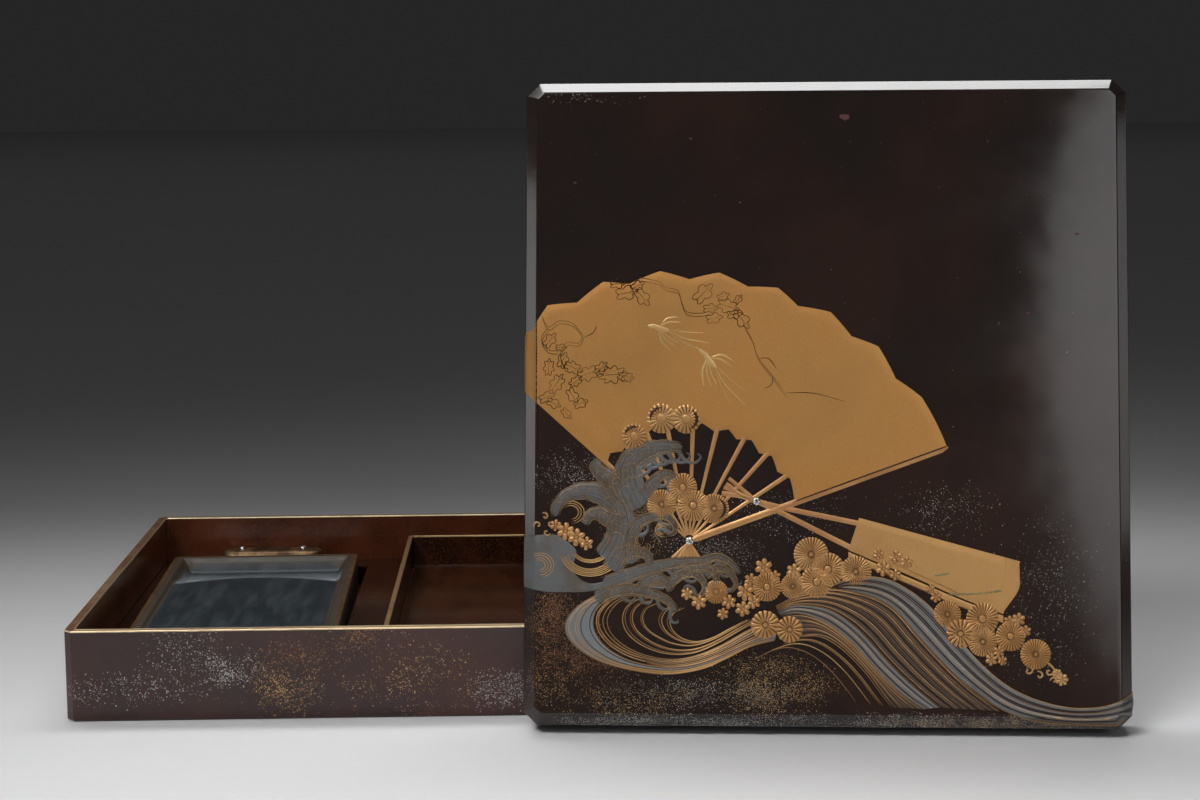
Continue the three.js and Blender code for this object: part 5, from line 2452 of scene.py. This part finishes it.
        return joined([
            self.plane.ribbons(outlines, 1.3, 0.42, 3, 0),
            self.plane.ribbons(veins, 0.8, 0.40, 3, 0.3),
            self.plane.ribbons(thick + np.array([0, 1.6]), 1.1, 0.42, 3, 0.2),
            self.plane.ribbons(thick - np.array([0.6, 1.6]), 1, 0.42, 3, 0.2),
            self.plane.ribbons(twigs, 1.5, 0.42, 3, 0.5),
        ])

    def birds(self) -> Skin:
        """Two small birds with long tails, in pale strokes: an oval body, a head, wings and tail plumes.

        Returns:
            The piece's surface.
        """
        strokes = []
        widths = []
        for x, y, turn, size in ((661, 332, 2.8, 1), (710, 364, 2.2, 1.15)):
            c, s = math.cos(turn), math.sin(turn)
            plan = (
                (((10, 0), (3, 1), (-8, 0)), 9), (((14, 3), (11, 2), (6, 1)), 6.5),
                (((17, 4), (15, 3.4), (13, 3)), 1.8), (((3, 2), (-4, 12), (-15, 18)), 3.6),
                (((2, 2), (-7, 9), (-19, 13)), 3), (((1, 2), (-9, 6), (-20, 8)), 2.6),
                (((2, -2), (-2, -11), (-12, -16)), 3.4), (((1, -2), (-5, -8), (-16, -12)), 2.8),
                (((-6, 0), (-24, 2), (-50, -2)), 2.2), (((-6, 1), (-24, 6), (-46, 8)), 1.8),
                (((-6, -1), (-22, -4), (-42, -10)), 1.8),
            )
            for points, width in plan:
                turned = [(x + size * (a * c - b * s), y - size * (a * s + b * c)) for a, b in points]
                strokes.append(curve(turned, 24))
                widths.append(0.9 * width)
        return self.plane.ribbons(np.stack(strokes), np.array(widths)[:, None], 0.45, 5, 0.45, 0.25)


@dataclass
class LidPicture:
    """The raised picture on the lid: fans over a breaking wave, among chrysanthemums."""

    plane: PicturePlane

    def on_lid(self, x: float, y: float) -> Triple:
        """A pixel's point on the face, in the lid's own millimetres."""
        u, v = self.plane.plan(np.array([x, y]))
        return float(u), float(v), self.plane.lid.depth

    def clouds(self) -> tuple[Cloud, ...]:
        """Sprinkled metal round the picture: dense at the lower left, thin towards the right.

        Returns:
            All clouds.
        """
        rows = (
            (572, 664, 28, 20, 0.46, Metal.RED_GOLD), (556, 622, 14, 17, 0.95, Metal.RED_GOLD),
            (575, 694, 30, 14, 0.18, Metal.GOLD),
            (690, 729, 90, 4.5, 0.95, Metal.SILVER), (1000, 729, 60, 4.5, 0.90, Metal.GOLD),
            (585, 103, 26, 4, 0.09, Metal.SILVER),
            (640, 705, 40, 10, 0.34, Metal.GOLD), (772, 690, 30, 16, 0.66, Metal.GOLD),
            (700, 700, 60, 9, 0.28, Metal.SILVER), (900, 728, 110, 5, 0.85, Metal.SILVER),
            (626, 548, 10, 12, 0.90, Metal.RED_GOLD), (640, 520, 24, 20, 0.40, Metal.GOLD),
            (570, 478, 22, 14, 0.20, Metal.SILVER), (708, 556, 30, 12, 0.22, Metal.SILVER),
            (790, 520, 40, 14, 0.09, Metal.SILVER), (950, 512, 30, 13, 0.10, Metal.SILVER),
            (1050, 590, 26, 36, 0.075, Metal.SILVER), (1040, 640, 30, 24, 0.075, Metal.SILVER),
        )
        return tuple(Cloud(self.on_lid(x, y), (a, b, 12), share, metal) for x, y, a, b, share, metal in rows)

    def chips(self) -> Chips:
        """The chip near the upper edge and the small pits in the gloss.

        Returns:
            Their places and sizes.
        """
        rows = ((843, 119, 2), (688, 142, 0.8), (573, 187, 0.7), (1048, 200, 0.7),
                (1077, 234, 0.8), (1020, 273, 0.7), (1028, 314, 0.8), (1033, 445, 0.6))
        return tuple((self.on_lid(x, y), radius) for x, y, radius in rows)

    def build(self) -> None:
        """Makes the picture from the ground up, each kind of metal as a piece of its own."""
        gold = PaintedMetal(
            "fan_gold", (0.47, 0.232, 0.065), (0.17, 0.075, 0.025), (0.46, 0.212, 0.053), patches=24
        )
        tan = PaintedMetal(
            "fan_tan", (0.52, 0.285, 0.1), (0.18, 0.085, 0.03), (0.45, 0.24, 0.082), patches=30
        )
        bright = PaintedMetal("line_gold", (0.62, 0.39, 0.17), (0.2, 0.1, 0.042), (0.48, 0.28, 0.108))
        foam_line = PaintedMetal("foam_line", (0.43, 0.29, 0.15), (0.12, 0.08, 0.05), (0.32, 0.215, 0.112))
        pale = PaintedMetal("pale_gold", (0.64, 0.42, 0.17), (0.26, 0.135, 0.05), (0.55, 0.33, 0.125))
        flower = PaintedMetal("flower_gold", (0.46, 0.25, 0.095), (0.085, 0.038, 0.016), (0.4, 0.2, 0.068))
        silver = PaintedMetal(
            "wave_silver", (0.19, 0.205, 0.212), (0.115, 0.11, 0.104), (0.17, 0.165, 0.155), 0.45, 0.45, 40
        )
        foam_grey = PaintedMetal(
            "foam_grey", (0.118, 0.124, 0.126), (0.04, 0.032, 0.026), (0.1, 0.08, 0.06), 0.48, 0.4, 90
        )
        brown = PaintedMetal("trough_brown", (0.1, 0.064, 0.043), (0.024, 0.014, 0.011), (0.08, 0.062, 0.05))
        dark = PaintedMetal("dark_outline", (0.04, 0.018, 0.009), (0.015, 0.008, 0.005), (0.06, 0.027, 0.013))
        stick = PaintedMetal("stick_gold", (0.5, 0.27, 0.105), (0.16, 0.07, 0.03), (0.4, 0.195, 0.075))
        green = PaintedMetal("faint_green", (0.17, 0.175, 0.085), (0.09, 0.08, 0.04), (0.22, 0.19, 0.085))
        fan, small = BigFan(self.plane), SmallFan(self.plane)
        waves, foam, garden = Waves(self.plane), Foam(self.plane), Garden(self.plane)
        pins = self.plane.blossoms([fan.pivot, small.pivot], [4.2, 4], petals=5, scallop=0, lift=1, eye=0.3)
        rows = (
            ("fan_leaf", fan.leaf(), gold.build(), "gold"),
            ("fan_sticks", joined([fan.sticks(), small.sticks()]), stick.build(), "gold"),
            ("fan_dark_lines", joined([fan.guard_line(), small.folds()]), dark.build(), "gold"),
            ("small_fan_spray", small.spray(), green.build(), "gold"),
            ("small_fan_leaf", small.leaf(), tan.build(), "gold"),
            ("wave_silver_bands", waves.bands(Flow.SILVER), silver.build(), "silver"),
            ("wave_brown_bands", waves.bands(Flow.BROWN), brown.build(), "gold"),
            ("wave_hairlines", waves.hairlines(), bright.build(), "gold"),
            ("wave_dark_lines", waves.dark_lines(), dark.build(), "gold"),
            ("foam_claws", foam.body(), foam_grey.build(), "silver"),
            ("foam_lines", joined([foam.lines(), foam.scales()]), foam_line.build(), "gold"),
            ("foam_rings", foam.rings(), bright.build(), "gold"),
            ("chrysanthemums", garden.flowers(), flower.build(), "gold"),
            ("flower_crescents", garden.dark_crescents(), dark.build(), "gold"),
            ("tendrils", garden.tendrils(), bright.build(), "gold"),
            ("leaf_sprigs", garden.sprigs(), dark.build(), "gold"),
            ("long_tailed_birds", garden.birds(), pale.build(), "gold"),
            ("fan_pins", pins, Silver("pin_silver").build(), "silver"),
        )
        for name, skin, material, slot in rows:
            piece(name, skin, material, slot)


def dress_board() -> None:
    """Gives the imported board, whose shape is right, its sprinkled lacquer."""
    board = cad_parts["base_board"]
    board.data.materials.clear()
    board.data.materials.append(SprinkledLacquer("board_lacquer").build())
    log.info("base_board: kept from the packed model")


def main() -> None:
    """Builds the writing box in order."""
    logging.basicConfig(level=logging.INFO, format="%(name)s %(message)s", stream=sys.stdout)
    camera = Camera()
    camera.build()
    Studio().build()
    box = OpenBox()
    box.build(camera)
    dress_board()
    Inkstone().build()
    WaterDropper().build()
    BrushTray().build(box)
    lid = Lid(box=box)
    picture = LidPicture(PicturePlane(lid))
    lid.build(picture.clouds(), picture.chips())
    picture.build()
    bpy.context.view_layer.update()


if __name__ == "__main__":
    main()
